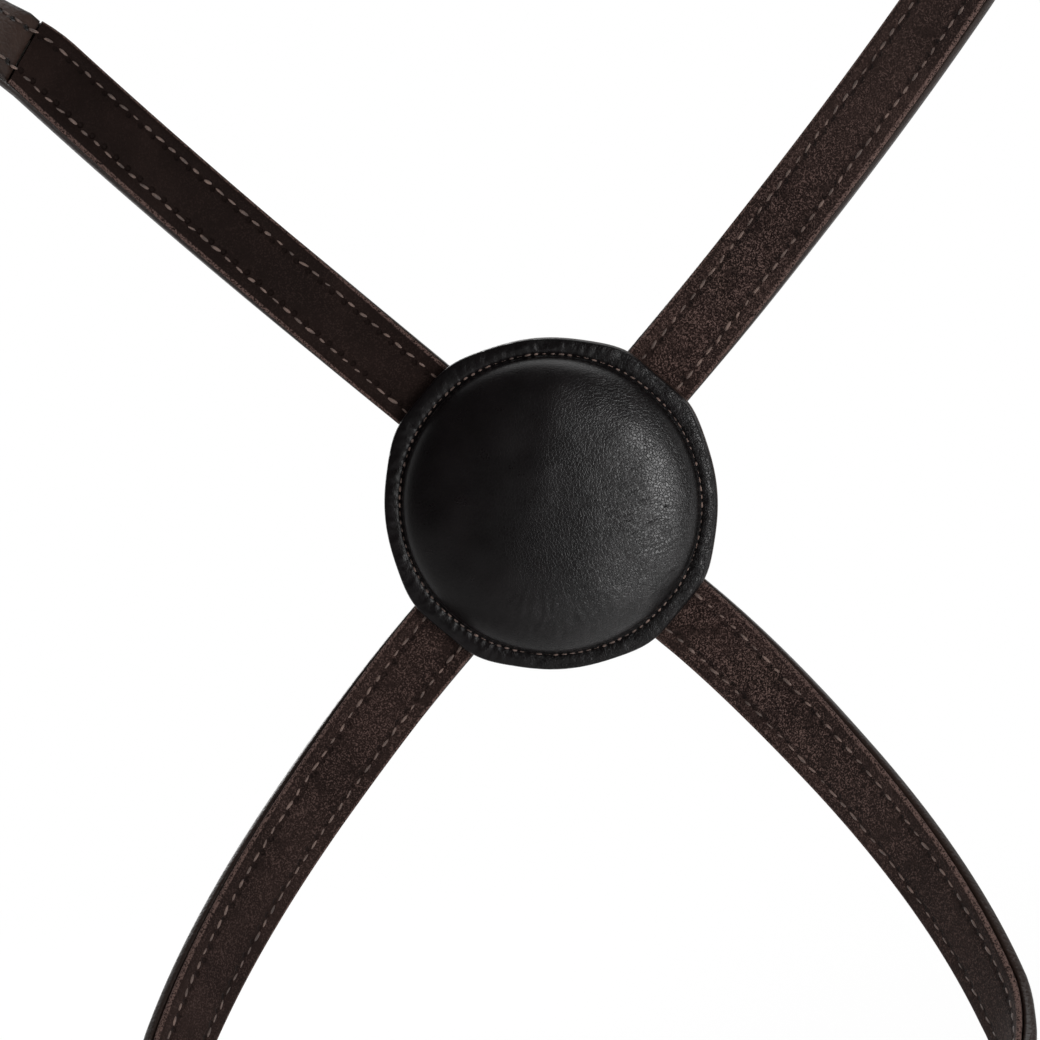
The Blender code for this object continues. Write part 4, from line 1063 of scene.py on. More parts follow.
def lining_leather(name, nap):
    """Leather on the horse's side. nap is how far its fibres are raised, from 0 to 1."""
    made = Finish(name)
    tree, where = made.tree, made.where
    leather = settings().leather
    row, hole, inwards = stitch_marks(made)
    clouds = noise_of(tree, where, 60.0, 3.0)
    fibres = noise_of(tree, where, 3000.0, 2.0, 0.6)
    tufts = noise_of(tree, where, 1500.0, 3.0, 0.6)
    bald = noise_of(tree, where, 260.0, 3.0, 0.6)
    pores = cells_of(tree, where, 1300.0, "SMOOTH_F1")
    middle = fade(tree, inwards, settings().stitches.inset - 0.0012, settings().stitches.inset + 0.0002)
    centre = nose_route().disc_centre
    off_disc = node(tree, "VectorMath", {0: where, 1: centre}, operation="DISTANCE").outputs["Value"]
    near_disc = fade(tree, off_disc, NAP_WORN, NAP_FULL)
    raised = plus(tree, times(tree, near_disc, 0.5 * nap), 0.5 * nap)
    share = times(tree, plus(tree, times(tree, middle, 0.25), 0.75), raised)
    height = plus(tree, times(tree, fibres, 0.7), times(tree, tufts, 0.3))
    speck = times(tree, fade(tree, height, 0.50, 0.62), fade(tree, bald, 0.25, 0.55))
    shade = 0.5 + 0.5 * nap
    colour = blend(tree, fade(tree, clouds, 0.3, 0.7), tint(leather.lining_colour, 0.75 * shade),
                   tint(leather.lining_colour, 1.25 * shade))
    # Painted shade: the hollows between the raised fibres are darkened
    pit_shade = fade(tree, height, 0.48, 0.38)
    colour = blend(tree, times(tree, pit_shade, share), colour, tint(leather.lining_colour, 0.3))
    colour = blend(tree, times(tree, speck, share), colour, tint(leather.nap_colour))
    edge = fade(tree, inwards, 0.0011, 0.0003)
    colour = blend(tree, times(tree, edge, 0.4), colour, tint(leather.lining_colour, 0.4))
    raw = times(tree, fade(tree, inwards, 0.0005, 0.0002), fade(tree, height, 0.40, 0.56))
    colour = blend(tree, times(tree, raw, 0.8), colour, tint(leather.nap_colour))
    # Painted shade: the lining is darkened in its sunken stitch rows and in its needle holes
    colour = blend(tree, times(tree, row, 0.4), colour, tint(leather.lining_colour, 0.5))
    colour = blend(tree, times(tree, hole, 0.4), colour, tint(leather.lining_colour, 0.2))
    rough = plus(tree, times(tree, share, 0.3), 0.56)
    rough = plus(tree, rough, times(tree, clouds, 0.1), clamp=True)
    bumps = [
        (times(tree, height, plus(tree, share, 0.1)), 0.00050),
        (pores, 0.00004),
        (calc(tree, "SUBTRACT", 0.0, hole), 0.0003),
    ]
    return made.close(colour, rough, bumps, sheen=0.02 * nap, specular=0.02 + 0.03 * nap)


def cover_leather():
    """Soft black leather with a pebbled grain that opens where the cover is creased."""
    made = Finish("soft_leather")
    tree, where = made.tree, made.where
    base = settings().leather.cover_colour
    centre = nose_route().disc_centre
    warp = node(tree, "TexNoise", {"Vector": where, "Scale": 900.0, "Detail": 2.0}).outputs["Color"]
    shaken = node(tree, "VectorMath", {0: warp, "Scale": 0.0008}, operation="SCALE").outputs[0]
    bent = node(tree, "VectorMath", {0: where, 1: shaken}, operation="ADD").outputs[0]
    pebbles = cells_of(tree, bent, 1600.0, "DISTANCE_TO_EDGE")
    large = cells_of(tree, bent, 620.0, "DISTANCE_TO_EDGE")
    clouds = noise_of(tree, where, 70.0, 3.0)
    patches = noise_of(tree, where, 230.0, 4.0)
    split = node(tree, "SeparateXYZ", {0: where}).outputs
    rightwards = calc(tree, "SUBTRACT", split[0], centre.x)
    downwards = calc(tree, "SUBTRACT", centre.z, split[2])
    towards_corner = plus(tree, rightwards, times(tree, downwards, 0.35))
    open_side = fade(tree, towards_corner, -0.010, 0.016)
    cracks = fade(tree, pebbles, 0.17, 0.0)
    depth = plus(tree, times(tree, open_side, 0.7), 0.3)
    colour = blend(tree, fade(tree, clouds, 0.35, 0.7), tint(base, 0.75), tint(base, 1.3))
    worn = times(tree, fade(tree, patches, 0.45, 0.7), open_side)
    colour = blend(tree, times(tree, worn, 0.3), colour, tint(base, 3.5))
    # Painted shade: the crevices between the pebbles are darkened, more on the creased side; they are also
    # made rougher
    shaded_crevices = times(tree, cracks, depth)
    colour = blend(tree, shaded_crevices, colour, tint(base, 0.25))
    rough = plus(tree, times(tree, patches, 0.12), 0.23)
    rough = plus(tree, rough, times(tree, shaded_crevices, 0.4), clamp=True)
    height = times(tree, fade(tree, pebbles, 0.0, 0.17), depth)
    furrow = times(tree, fade(tree, large, 0.0, 0.10), times(tree, depth, open_side))
    bumps = [(height, 0.000036), (furrow, 0.00002)]
    squares = plus(tree, times(tree, rightwards, rightwards), times(tree, downwards, downwards))
    across = calc(tree, "SQRT", squares)
    ring = settings().disc.ring
    dome = plus(tree, times(tree, fade(tree, across, ring, ring - 0.002), 0.85), 0.15)
    rubbed = times(tree, fade(tree, rightwards, -0.014, 0.020), dome)
    shine = times(tree, rubbed, plus(tree, times(tree, patches, 0.5), 0.35), clamp=True)
    return made.close(colour, rough, bumps, specular=0.16, coat=shine)


def felt():
    made = Finish("felt")
    tree, where = made.tree, made.where
    fibres = noise_of(tree, where, 1600.0, 5.0, 0.7)
    clouds = noise_of(tree, where, 120.0)
    colour = blend(tree, fibres, (0.16, 0.15, 0.13, 1), (0.33, 0.31, 0.28, 1))
    rough = plus(tree, times(tree, clouds, 0.1), 0.85)
    return made.close(colour, rough, [(fibres, 0.0002)], sheen=0.3, specular=0.2)


def thread():
    """Waxed brown thread: laid strands, and a colour that differs a little from stitch to stitch."""
    made = Finish("thread")
    tree, where = made.tree, made.where
    base = settings().stitches.colour
    strands = noise_of(tree, where, 4200.0, 2.0)
    worn = noise_of(tree, where, 260.0, 4.0, 0.7)
    colour = blend(tree, fade(tree, worn, 0.32, 0.68), tint(base, 0.42), tint(base, 1.7))
    colour = blend(tree, times(tree, strands, 0.5), colour, tint(base, 0.5))
    rough = plus(tree, times(tree, worn, 0.2), 0.5)
    return made.close(colour, rough, [(strands, 0.0001)], sheen=0.2, specular=0.4)


def steel():
    """Polished stainless steel with fine scratches and a few duller patches."""
    made = Finish("steel")
    tree, where = made.tree, made.where
    metal = settings().metal
    patches = noise_of(tree, where, 140.0, 4.0)
    stretched = node(tree, "Mapping", {"Vector": where, "Scale": (1.0, 6.0, 1.0)}).outputs[0]
    scratches = noise_of(tree, stretched, 1600.0, 3.0, 0.7)
    colour = blend(tree, fade(tree, patches, 0.3, 0.75), tint(metal.colour, 0.86), tint(metal.colour, 1.08))
    rough = plus(tree, times(tree, patches, 0.14), metal.roughness - 0.08)
    rough = plus(tree, rough, times(tree, scratches, 0.08), clamp=True)
    return made.close(colour, rough, [(scratches, 0.00001)], metallic=1.0)


def material_of(name):
    """The named finish, made the first time that a piece asks for it."""
    makers = {
        "strap_leather": strap_leather,
        "plain_leather": lambda: strap_leather("plain_leather", with_rows=False),
        "lining_leather": lambda: lining_leather("lining_leather", 0.95),
        "lining_leather_worn": lambda: lining_leather("lining_leather_worn", 0.6),
        "lining_leather_smooth": lambda: lining_leather("lining_leather_smooth", 0.1),
        "soft_leather": cover_leather,
        "felt": felt,
        "thread": thread,
        "steel": steel,
    }
    found = bpy.data.materials.get(DRESSED + name)
    return found if found else makers[name]()


# Straps


NoseSizes = namedtuple("NoseSizes", "route disc_mark chin_mark pin buckle low_end ring_inner rise")


def nose_sizes():
    """What both nose straps share: where each begins, is raised and ends."""
    nose = nose_route()
    disc_mark = nose.disc_mark
    pin = ring_pin(STRAP_WIDTH)
    buckle = chin_buckle()
    low_end = buckle.bar - BILLET_TIP - 2 * CLEARANCE
    ring_inner = [(pin + q, value) for q, value in ring_knots(STRAP_WIDTH)]
    disc_edge = FLAT_RUN - CROSSING_FADE / 2
    ring_mark = ring_inner[-1][0]
    rise = [
        (ring_mark, 0.0), (ring_mark + RAISE_FADE, RAISE),
        (disc_mark - disc_edge - CROSSING_FADE, RAISE), (disc_mark - disc_edge, 0.0),
        (disc_mark + disc_edge, 0.0), (disc_mark + disc_edge + CROSSING_FADE, RAISE),
        (low_end - RAISE_FADE, RAISE), (low_end, 0.0),
    ]
    return NoseSizes(nose.route, disc_mark, nose.chin_mark, pin, buckle, low_end, ring_inner, rise)


def billet_thickness(low_end):
    """The billet side's leather, which is thicker where it has no lining."""
    return [(low_end, OUTER_LEATHER), (low_end + SKIVE_RUN, BILLET_LEATHER)]


def bar_inner_knots(buckle):
    """How high a strap's inner face lies as it comes to its heel bar."""
    return sorted((buckle.bar - q, value) for q, value in buckle.strap_knots())


def nose_row(route, d, low, thick, height, sewn):
    """One row of a raised nose strap's show leather, drawn in along its stitch rows."""
    half = STRAP_WIDTH / 2
    over = hump(RAISE_HALF_WIDTH + RAISE_WALL, height)
    under = hump(RAISE_HALF_WIDTH, height)
    points = section(half, low, low + thick, stitched_spots(),
                     lift=lambda y: over(y) - sewn * groove_at(y), sink=under)
    return route.at(d), points, d, sewn


def step_over(disc_mark):
    """How far the upper strap climbs over the lower one at the crossing."""
    half = STRAP_WIDTH / 2
    step = OUTER_LEATHER + CLEARANCE
    return [
        (disc_mark - FLAT_RUN + CROSSING_FADE, 0.0), (disc_mark - half - 2 * CLEARANCE, step),
        (disc_mark + half + 2 * CLEARANCE, step), (disc_mark + FLAT_RUN - CROSSING_FADE, 0.0),
    ]


def billet_nose_strap():
    nose = nose_sizes()
    spots = stitched_spots()
    start = nose.chin_mark - CHIN_STRAIGHT
    thick = billet_thickness(nose.low_end)
    rows = ring_turnback(nose.route, nose.pin, 1, OUTER_LEATHER, STRAP_WIDTH, spots)
    for d in spread(nose.pin, start, nose.ring_inner, nose.rise, thick):
        sewn = 1.0 if nose.ring_inner[-1][0] < d < nose.low_end + SKIVE_RUN else 0.0
        low, height = eased(nose.ring_inner, d), eased(nose.rise, d)
        rows.append(nose_row(nose.route, d, low, eased(thick, d), height, sewn))
    bar = 2 * nose.chin_mark - nose.buckle.bar
    rows += billet_end_rows(nose.route, bar, nose.buckle, -1, start, thick, STRAP_WIDTH / 2, spots)[1:]
    strap = swept("nose_strap_billet", rows, material_of("strap_leather"))
    carve(strap, billet_holes(nose.buckle))
    settle(strap, "nosepiece", "strap_leather", "nose_strap_billet_leather")


def buckle_nose_strap():
    nose = nose_sizes()
    buckle = nose.buckle
    spots = stitched_spots()
    over = step_over(nose.disc_mark)
    bar_inner = bar_inner_knots(buckle)
    rows = ring_turnback(buckle.route, nose.pin, 1, OUTER_LEATHER, STRAP_WIDTH, spots)
    for d in spread(nose.pin, buckle.bar, nose.ring_inner, nose.rise, over, bar_inner):
        low = eased(nose.ring_inner if d < nose.disc_mark else bar_inner, d) + eased(over, d)
        sewn = 1.0 if nose.ring_inner[-1][0] < d < buckle.bar - KEEPER_PLACE - KEEPER_WIDTH else 0.0
        rows.append(nose_row(buckle.route, d, low, OUTER_LEATHER, eased(nose.rise, d), sewn))
    rows += bar_turnback(buckle, spots)
    strap = swept("nose_strap_buckle", rows, material_of("strap_leather"))
    carve(strap, tongue_slot(buckle))
    settle(strap, "nosepiece", "strap_leather", "nose_strap_buckle_leather")


def short_strap(name, node_name, body, width, buckle):
    """A strap from a ring to its buckle, turned back on both."""
    half = width / 2
    pin = ring_pin(width)
    spots = plain_spots()
    ring_inner = [(pin + q, value) for q, value in ring_knots(width)]
    bar_inner = bar_inner_knots(buckle)
    middle = (pin + buckle.bar) / 2
    rows = ring_turnback(buckle.route, pin, 1, buckle.leather, width, spots)
    for d in spread(pin, buckle.bar, ring_inner, bar_inner):
        low = eased(ring_inner if d < middle else bar_inner, d)
        from_bar = buckle.bar - d
        at_ring = ring_inner[-1][0] < d < pin + RING_TAIL
        sewn = at_ring or KEEPER_PLACE + KEEPER_WIDTH < from_bar < buckle.tail_length
        points = section(half, low, low + buckle.leather, spots)
        rows.append((buckle.route.at(d), points, d, 1.0 if sewn else 0.0))
    rows += bar_turnback(buckle, spots)
    strap = swept(name, rows, material_of("strap_leather"))
    carve(strap, tongue_slot(buckle))
    settle(strap, body, "strap_leather", node_name)


def long_strap(name, node_name, body, width, buckle):
    """A strap from the off ring all the way round to its point, through the buckle."""
    half = width / 2
    leather = buckle.leather
    spots = plain_spots()
    route = buckle.route
    pin = route.length - ring_pin(width)
    ring_inner = sorted((pin - q, value) for q, value in ring_knots(width))
    middle = route.length / 2
    rows = ring_turnback(route, pin, -1, leather, width, spots)
    for d in spread(pin, middle, ring_inner):
        low = eased(ring_inner, d)
        sewn = 1.0 if pin - RING_TAIL < d < ring_inner[0][0] else 0.0
        rows.append((route.at(d), section(half, low, low + leather, spots), d, sewn))
    rows += billet_end_rows(route, buckle.bar, buckle, 1, middle, [(0.0, leather)], half, spots)[1:]
    strap = swept(name, rows, material_of("strap_leather"))
    carve(strap, billet_holes(buckle))
    settle(strap, body, "strap_leather", node_name)


def lining(name, route, first, last, finish):
    """The leather on the horse's side, swelling a little between its stitch rows."""
    half = STRAP_WIDTH / 2 - LINING_INSET
    low = -CLEARANCE / 2 - LINING_LEATHER
    row = STRAP_WIDTH / 2 - settings().stitches.inset
    pillow = hump(row, settings().leather.pillow)
    rim = settings().leather.pillow / 2

    def sink(y):
        outside = rim * math.sin(math.pi * min(1.0, max(0.0, (y - row) / (half - row))))
        return groove_at(y) - pillow(y) - outside

    rows = []
    for d in spread(first, last):
        points = section(half, low, low + LINING_LEATHER, stitched_spots(), sink=sink)
        rows.append((route.at(d), points, d, 1.0))
    obj = swept(name, rows, material_of(finish))
    settle(obj, "nosepiece", "lining_leather", "nose_strap_" + name)


def raising_cord(name, route, rise, first, last):
    """The round cord inside a raised stretch of a nose strap."""
    half = RAISE_HALF_WIDTH - 2 * CLEARANCE
    foot = CLEARANCE / 2
    steps = 2 * PLAIN_COLUMNS
    rows = []
    for d in spread(first, last):
        height = eased(rise, d) - CLEARANCE - foot
        over = [(-half * math.cos(math.pi * i / steps), foot + height * math.sin(math.pi * i / steps))
                for i in range(steps + 1)]
        rows.append((route.at(d), over + [(0, foot)], d, 0.0))
    obj = swept(name, rows, material_of("felt"))
    settle(obj, "nosepiece", "felt", "nose_strap_" + name)


# Metal


def wire(name, points, radius, matrix, closed):
    """A round wire along points, its ends rounded off."""
    frames = []
    count = len(points)
    out = Vector((0, 1, 0))
    for i, point in enumerate(points):
        before = points[i - 1] if closed or i else point
        after = points[(i + 1) % count] if closed or i < count - 1 else point
        along = (after - before).normalized()
        if abs(along.dot(out)) > 0.9:
            out = Vector((0, 0, 1))
        frame_here = place(point, along, out)
        out = axis_of(frame_here, 2)
        frames.append(frame_here)
    shares = [1.0] * count
    if not closed:
        first, last = frames[0], frames[-1]
        for i in range(1, CAP_STEPS + 1):
            angle = math.pi / 2 * i / CAP_STEPS
            reach = radius * math.sin(angle) * WIRE_CAP
            share = max(WIRE_CAP_END, math.cos(angle))
            before, after = Matrix.Translation((-reach, 0, 0)), Matrix.Translation((reach, 0, 0))
            frames = [first @ before, *frames, last @ after]
            shares = [share, *shares, share]
    rows = []
    angles = [2 * math.pi * i / WIRE_SEGMENTS for i in range(WIRE_SEGMENTS)]
    for place_here, share in zip(frames, shares):
        circle = [(radius * share * math.cos(angle), radius * share * math.sin(angle)) for angle in angles]
        rows.append((matrix @ place_here, circle, 0.0, 0.0))
    return swept(name, rows, material_of("steel"), closed)


def rounded_box(left, right, bottom, top, radius):
    """The outline of a rectangle with round corners, from its right top corner round."""
    corners = [(right - radius, top - radius), (left + radius, top - radius),
               (left + radius, bottom + radius), (right - radius, bottom + radius)]
    points = []
    for n, (x, y) in enumerate(corners):
        for i in range(CORNER_STEPS + 1):
            angle = math.pi / 2 * (n + i / CORNER_STEPS)
            points.append(Vector((x + radius * math.cos(angle), y + radius * math.sin(angle))))
    return points


def divided(outline, longest):
    """A closed outline's points, with more of them along its long sides."""
    points = []
    for a, b in zip(outline, outline[1:] + outline[:1]):
        points.append(a)
        steps = round((b - a).length / longest)
        points += [a.lerp(b, i / steps) for i in range(1, steps)]
    return points


def buckle_frame(buckle, body):
    crank = [(0.0, 0.0), (FRAME_REACH, FRAME_RISE)]
    outline = rounded_box(0, FRAME_REACH, -buckle.rail, buckle.rail, FRAME_CORNER)
    line = [Vector((p.x, p.y, eased(crank, p.x))) for p in divided(outline, FRAME_CORNER / 2)]
    obj = wire(buckle.name + "_frame", line, BAR_RADIUS, buckle.centre, True)
    settle(obj, body, "steel", buckle.name + "_buckle_frame")


def buckle_tongue(buckle, body):
    line = buckle.tongue_line(CORNER_STEPS)
    line[-1] = line[-1] - Vector((TONGUE_RADIUS * WIRE_CAP, 0, 0))
    line.insert(-1, line[-2].lerp(line[-1], 0.5))
    obj = wire(buckle.name + "_tongue", line, TONGUE_RADIUS, buckle.centre, False)
    settle(obj, body, "steel", buckle.name + "_buckle_tongue")


def cheek_ring(name, side, body):
    bm = bmesh.new()
    made = bmesh.ops.create_circle(bm, segments=WIRE_SEGMENTS, radius=RING_WIRE_RADIUS,
                                   matrix=Matrix.Translation((0, RING_RADIUS, 0)))
    bmesh.ops.spin(bm, geom=made["verts"] + bm.edges[:], cent=(0, 0, 0), axis=(1, 0, 0), dvec=(0, 0, 0),
                   angle=2 * math.pi, steps=RING_SEGMENTS, use_merge=True, use_normal_flip=False,
                   use_duplicate=False)
    bmesh.ops.remove_doubles(bm, verts=bm.verts[:], dist=MERGE)
    bmesh.ops.translate(bm, vec=ring_centre(side), verts=bm.verts[:])
    obj = finished(name, bm, material_of("steel"))
    settle(obj, body, "steel", "cheek_" + name)


# Keepers


def keeper(name, node_name, buckle, distance, bottom, back, width, body):
    """A leather loop round the strap and the billet, with rounded edges all round."""
    inner_half = buckle.half + KEEPER_SIDE_CLEARANCE
    top = buckle.over_strap + buckle.billet + CLEARANCE
    points = divided(rounded_box(-inner_half, inner_half, bottom, top, KEEPER_CORNER), ROW_STEP)
    stand = buckle.route.at(buckle.bar - distance)
    middle = (bottom + top) / 2
    rows = []
    count = len(points)
    for i, p in enumerate(points):
        tangent = points[(i + 1) % count] - points[i - 1]
        out = Vector((0, tangent.y, -tangent.x))
        here = place(Vector((0, p.x, p.y)), Vector((0, tangent.x, tangent.y)), out)
        share = min(1.0, max(0.0, (middle - p.y) / (middle - bottom)))
        thick = KEEPER_LEATHER + (back - KEEPER_LEATHER) * share
        rows.append((stand @ here, section(width / 2, 0.0, thick, plain_spots()), 0.0, 0.0))
    obj = swept(name, rows, material_of("plain_leather"), closed=True)
    settle(obj, body, "strap_leather", node_name)


# The disc


def rim_factor(radius, angle):
    """How much a point outside the dome is pushed out where the edges of the straps hold the rim."""
    outside = min(1.0, max(0.0, (radius - DOME_RADIUS) / (DISC_RADIUS - DOME_RADIUS)))
    exit_half = math.asin(STRAP_WIDTH / 2 / DISC_RADIUS)
    half = CROSSING_ANGLE / 2
    exit_angles = [way + side * half for way in (math.pi / 2, -math.pi / 2) for side in (-1, 1)]
    bulge = 0.0
    for exit_angle in exit_angles:
        for edge in (-exit_half, exit_half):
            off = (angle - exit_angle - edge + math.pi) % (2 * math.pi) - math.pi
            bulge += bell(off, DISC_CORNER_SPREAD)
    return 1 + outside * DISC_CORNER / DISC_RADIUS * bulge


def turned_part(name, profile, finish, segments, shape=None):
    """A solid turned from a profile of radius and height about the disc's axis, then shaped."""
    bm = bmesh.new()
    verts = [bm.verts.new((radius, 0, height)) for radius, height in profile]
    edges = [bm.edges.new(pair) for pair in zip(verts, verts[1:])]
    bmesh.ops.spin(bm, geom=verts + edges, cent=(0, 0, 0), axis=(0, 0, 1), dvec=(0, 0, 0),
                   angle=2 * math.pi, steps=segments, use_merge=True, use_normal_flip=False,
                   use_duplicate=False)
    bmesh.ops.remove_doubles(bm, verts=bm.verts[:], dist=MERGE)
    for vert in bm.verts:
        radius = math.hypot(vert.co.x, vert.co.y)
        if shape:
            shape(vert, radius)
        factor = rim_factor(radius, math.atan2(vert.co.y, vert.co.x))
        vert.co.x *= factor
        vert.co.y *= factor
    bmesh.ops.transform(bm, matrix=disc_stand(), verts=bm.verts[:])
    return finished(name, bm, finish)


def dome_height(share):
    return math.sqrt(max(0.0, 1 - share ** DOME_SQUARENESS))


DiscHeights = namedtuple("DiscHeights", "base_top base_under flange")


def disc_heights():
    """Heights over the straps' inner faces, towards the horse: the base's two faces and the cover's foot."""
    base_top = CLEARANCE / 2 + LINING_LEATHER + CLEARANCE
    base_under = base_top + DISC_BASE_LEATHER
    return DiscHeights(base_top, base_under, base_under + CLEARANCE)


def disc_stand():
    """The matrix that lays what is drawn about the Z axis on the disc's middle, towards the horse."""
    return Matrix.Translation(nose_route().disc_centre) @ Matrix.Rotation(math.pi / 2, 4, "X")


def cover_profile():
    """The cover's section: its dome, the drawn-in stitch ring, the rolled rim and its hollow."""
    disc = settings().disc
    flange = disc_heights().flange
    top = flange + COVER_LEATHER
    outer = []
    for i in range(DOME_STEPS):
        share = math.sin(math.pi / 2 * i / DOME_STEPS)
        outer.append((DOME_RADIUS * share, top + COVER_CROWN * dome_height(share)))
    foot = [(DOME_RADIUS, top + BRIM), (disc.ring - BRIM / 3, top), (disc.ring, top - BRIM / 3)]
    width = DISC_RADIUS - disc.ring
    lip = []
    for i in range(1, LIP_STEPS):
        share = i / LIP_STEPS
        height = math.sin(math.pi * share ** LIP_LEAN) ** LIP_ROUND
        lip.append((disc.ring + width * share, top - BRIM / 3 * (1 - share) + disc.lip * height))
    edge = [(DISC_RADIUS, top - COVER_LEATHER * LIP_EDGE), (DISC_RADIUS - CLEARANCE / 2, flange)]
    inner_radius = DOME_RADIUS - COVER_LEATHER
    inner = []
    for i in range(INNER_DOME_STEPS, -1, -1):
        share = math.sin(math.pi / 2 * i / INNER_DOME_STEPS)
        inner.append((inner_radius * share, flange + COVER_CROWN * dome_height(share)))
    return outer + foot + lip + edge + inner


def stitch_count():
    """How many stitches go round the disc."""
    return round(2 * math.pi * settings().disc.ring / settings().stitches.disc_pitch)


def on_inner_face(vert, radius):
    """Whether a point of the cover is on its inner face, which keeps its shape."""
    flange = disc_heights().flange
    inner_radius = DOME_RADIUS - COVER_LEATHER
    inner_height = flange + COVER_CROWN * dome_height(radius / inner_radius) + CLEARANCE
    return vert.co.z < flange + COVER_LEATHER / 2 or (radius < inner_radius and vert.co.z < inner_height)


def patch(x, y, middle_x, middle_y, across, up):
    """1 in the middle of an oval patch on the disc, and less around it."""
    return math.exp(-((x - middle_x) / across) ** 2 - ((y - middle_y) / up) ** 2)


def shape_cover(vert, radius):
    """Moves a point of the cover for the swell of the pad, the creases and the pull of each stitch."""
    if on_inner_face(vert, radius):
        return
    disc = settings().disc
    x, y = vert.co.x, vert.co.y
    angle = math.atan2(y, x)
    inside = max(0.0, min(1.0, (disc.ring - radius) / INSIDE_FADE))
    wide, close = SWELL_SCALES
    swell = noise.noise(Vector((x * wide, y * wide, 3.1)))
    swell += 0.5 * noise.noise(Vector((x * close, y * close, 8.7)))
    vert.co.z += disc.swell * swell * inside
    tilt = CREASE_TILT + CREASE_TURN * max(0.0, min(1.0, -y / CREASE_TURN_RUN))
    across = y * math.cos(tilt) - x * math.sin(tilt)
    along = x * math.cos(tilt) + y * math.sin(tilt)
    warp = CREASE_WARP * noise.noise(Vector((x * WARP_SCALE, y * WARP_SCALE, 1.7)))
    ridges = 1 - 2 * abs(math.cos(math.pi * (across + warp) / CREASE_PITCH)) ** CREASE_POWER
    spot = Vector((along * PATCH_SCALES[0], across * PATCH_SCALES[1], 5.2))
    patches = max(0.0, PATCH_SHARE + noise.noise(spot))
    vert.co.z += disc.wrinkle * ridges * patches * CREASE_DEPTH * patch(x, y, *SIDE_CREASES)
    folds = math.sin(2 * math.pi * (angle * LOW_CREASE_RADIUS + warp * 1.5) / LOW_CREASE_PITCH)
    vert.co.z += disc.wrinkle * folds * patches * LOW_CREASE_DEPTH * patch(x, y, *LOW_CREASES)
    pull = bell(radius - disc.ring, PULL_WIDTH)
    vert.co.z += disc.pucker * pull * (0.5 - 0.5 * math.cos(stitch_count() * angle) - 0.4)
    rim = bell(radius - disc.ring - GATHER_PLACE, GATHER_WIDTH)
    for turns, height in GATHERS:
        lean = Vector((math.cos(angle) * turns, math.sin(angle) * turns, radius * GATHER_SCALE))
        vert.co.z += disc.fold * height * rim * noise.noise(lean)
    off_side = bell(angle - SET_BACK_WAY, SET_BACK_SPREAD)
    reach = max(0.0, (radius - disc.ring) / (DISC_RADIUS - disc.ring))
    drawn_in = 1 - disc.set_back * off_side * reach / max(radius, DOME_RADIUS)
    vert.co.x *= drawn_in
    vert.co.y *= drawn_in


def disc_cover():
    cover = turned_part("disc_cover", cover_profile(), material_of("soft_leather"), DISC_SEGMENTS,
                        shape_cover)
    settle(cover, "nosepiece", "soft_leather", "disc_pad_cover")


def disc_base():
    heights = disc_heights()
    edge = settings().leather.edge_round
    profile = [(0, heights.base_under)]
    steps = 2 * EDGE_STEPS
    for i in range(steps + 1):
        angle = math.pi / 2 - math.pi * i / steps
        centre = heights.base_under - edge if angle > 0 else heights.base_top + edge
        profile.append((DISC_RADIUS - edge + edge * math.cos(angle), centre + edge * math.sin(angle)))
    profile.append((0, heights.base_top))
    base = turned_part("disc_base", profile, material_of("plain_leather"), DISC_SEGMENTS // 2)
    settle(base, "nosepiece", "strap_leather", "disc_base_leather")


def disc_pad():
    flange = disc_heights().flange
    inner_radius = DOME_RADIUS - COVER_LEATHER
    profile = []
    for i in range(PAD_STEPS + 1):
        share = math.sin(math.pi / 2 * i / PAD_STEPS)
        height = flange + COVER_CROWN * dome_height(share * PAD_RADIUS / inner_radius) - CLEARANCE
        profile.append((PAD_RADIUS * share, height))
    profile += [(PAD_RADIUS, flange), (0, flange)]
    pad = turned_part("disc_filling", profile, material_of("felt"), PAD_SEGMENTS)
    settle(pad, "nosepiece", "felt", "disc_pad")


# Stitching


def sew(name, spots, body, mean_length=0.0):
    """One thread, seen as the stitches at its spots: places whose X runs along the row and Z out."""
    stitches = settings().stitches
    rng = random.Random(name + str(stitches.seed))
    bm = bmesh.new()
    for spot in spots:
        length = (mean_length or stitches.length) * rng.uniform(*STITCH_LENGTHS)
        width = stitches.width * rng.uniform(*STITCH_WIDTHS)
        turned = Matrix.Rotation(stitches.slant * rng.uniform(*STITCH_SLANTS), 4, "Z")
        shift = width * rng.uniform(*STITCH_SHIFTS)
        lift = Matrix.Translation((0, shift, width * rng.uniform(*STITCH_LIFTS)))
        shape = Matrix.Diagonal((length / 2, width / 2, width * STITCH_HEIGHT, 1))
        lie = Matrix.Rotation(math.pi / 2, 4, "Y")
        bmesh.ops.create_uvsphere(bm, u_segments=STITCH_SEGMENTS, v_segments=STITCH_RINGS, radius=1,
                                  matrix=spot @ turned @ lift @ shape @ lie)
    obj = finished(name, bm, material_of("thread"))
    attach(obj, body)


def row_spots(route, start, end, height, half, under=False):
    """Both rows of stitches along a strap, at a height that depends on the distance."""
    stitches = settings().stitches
    spots = []
    first, last = math.ceil(start / stitches.pitch), math.floor(end / stitches.pitch)
    for k in range(first, last):
        d = (k + 0.5) * stitches.pitch
        for side in (-1, 1):
            here = route.at(d) @ Matrix.Translation((0, side * (half - stitches.inset), height(d)))
            spots.append(here @ Matrix.Rotation(math.pi, 4, "X") if under else here)
    return spots


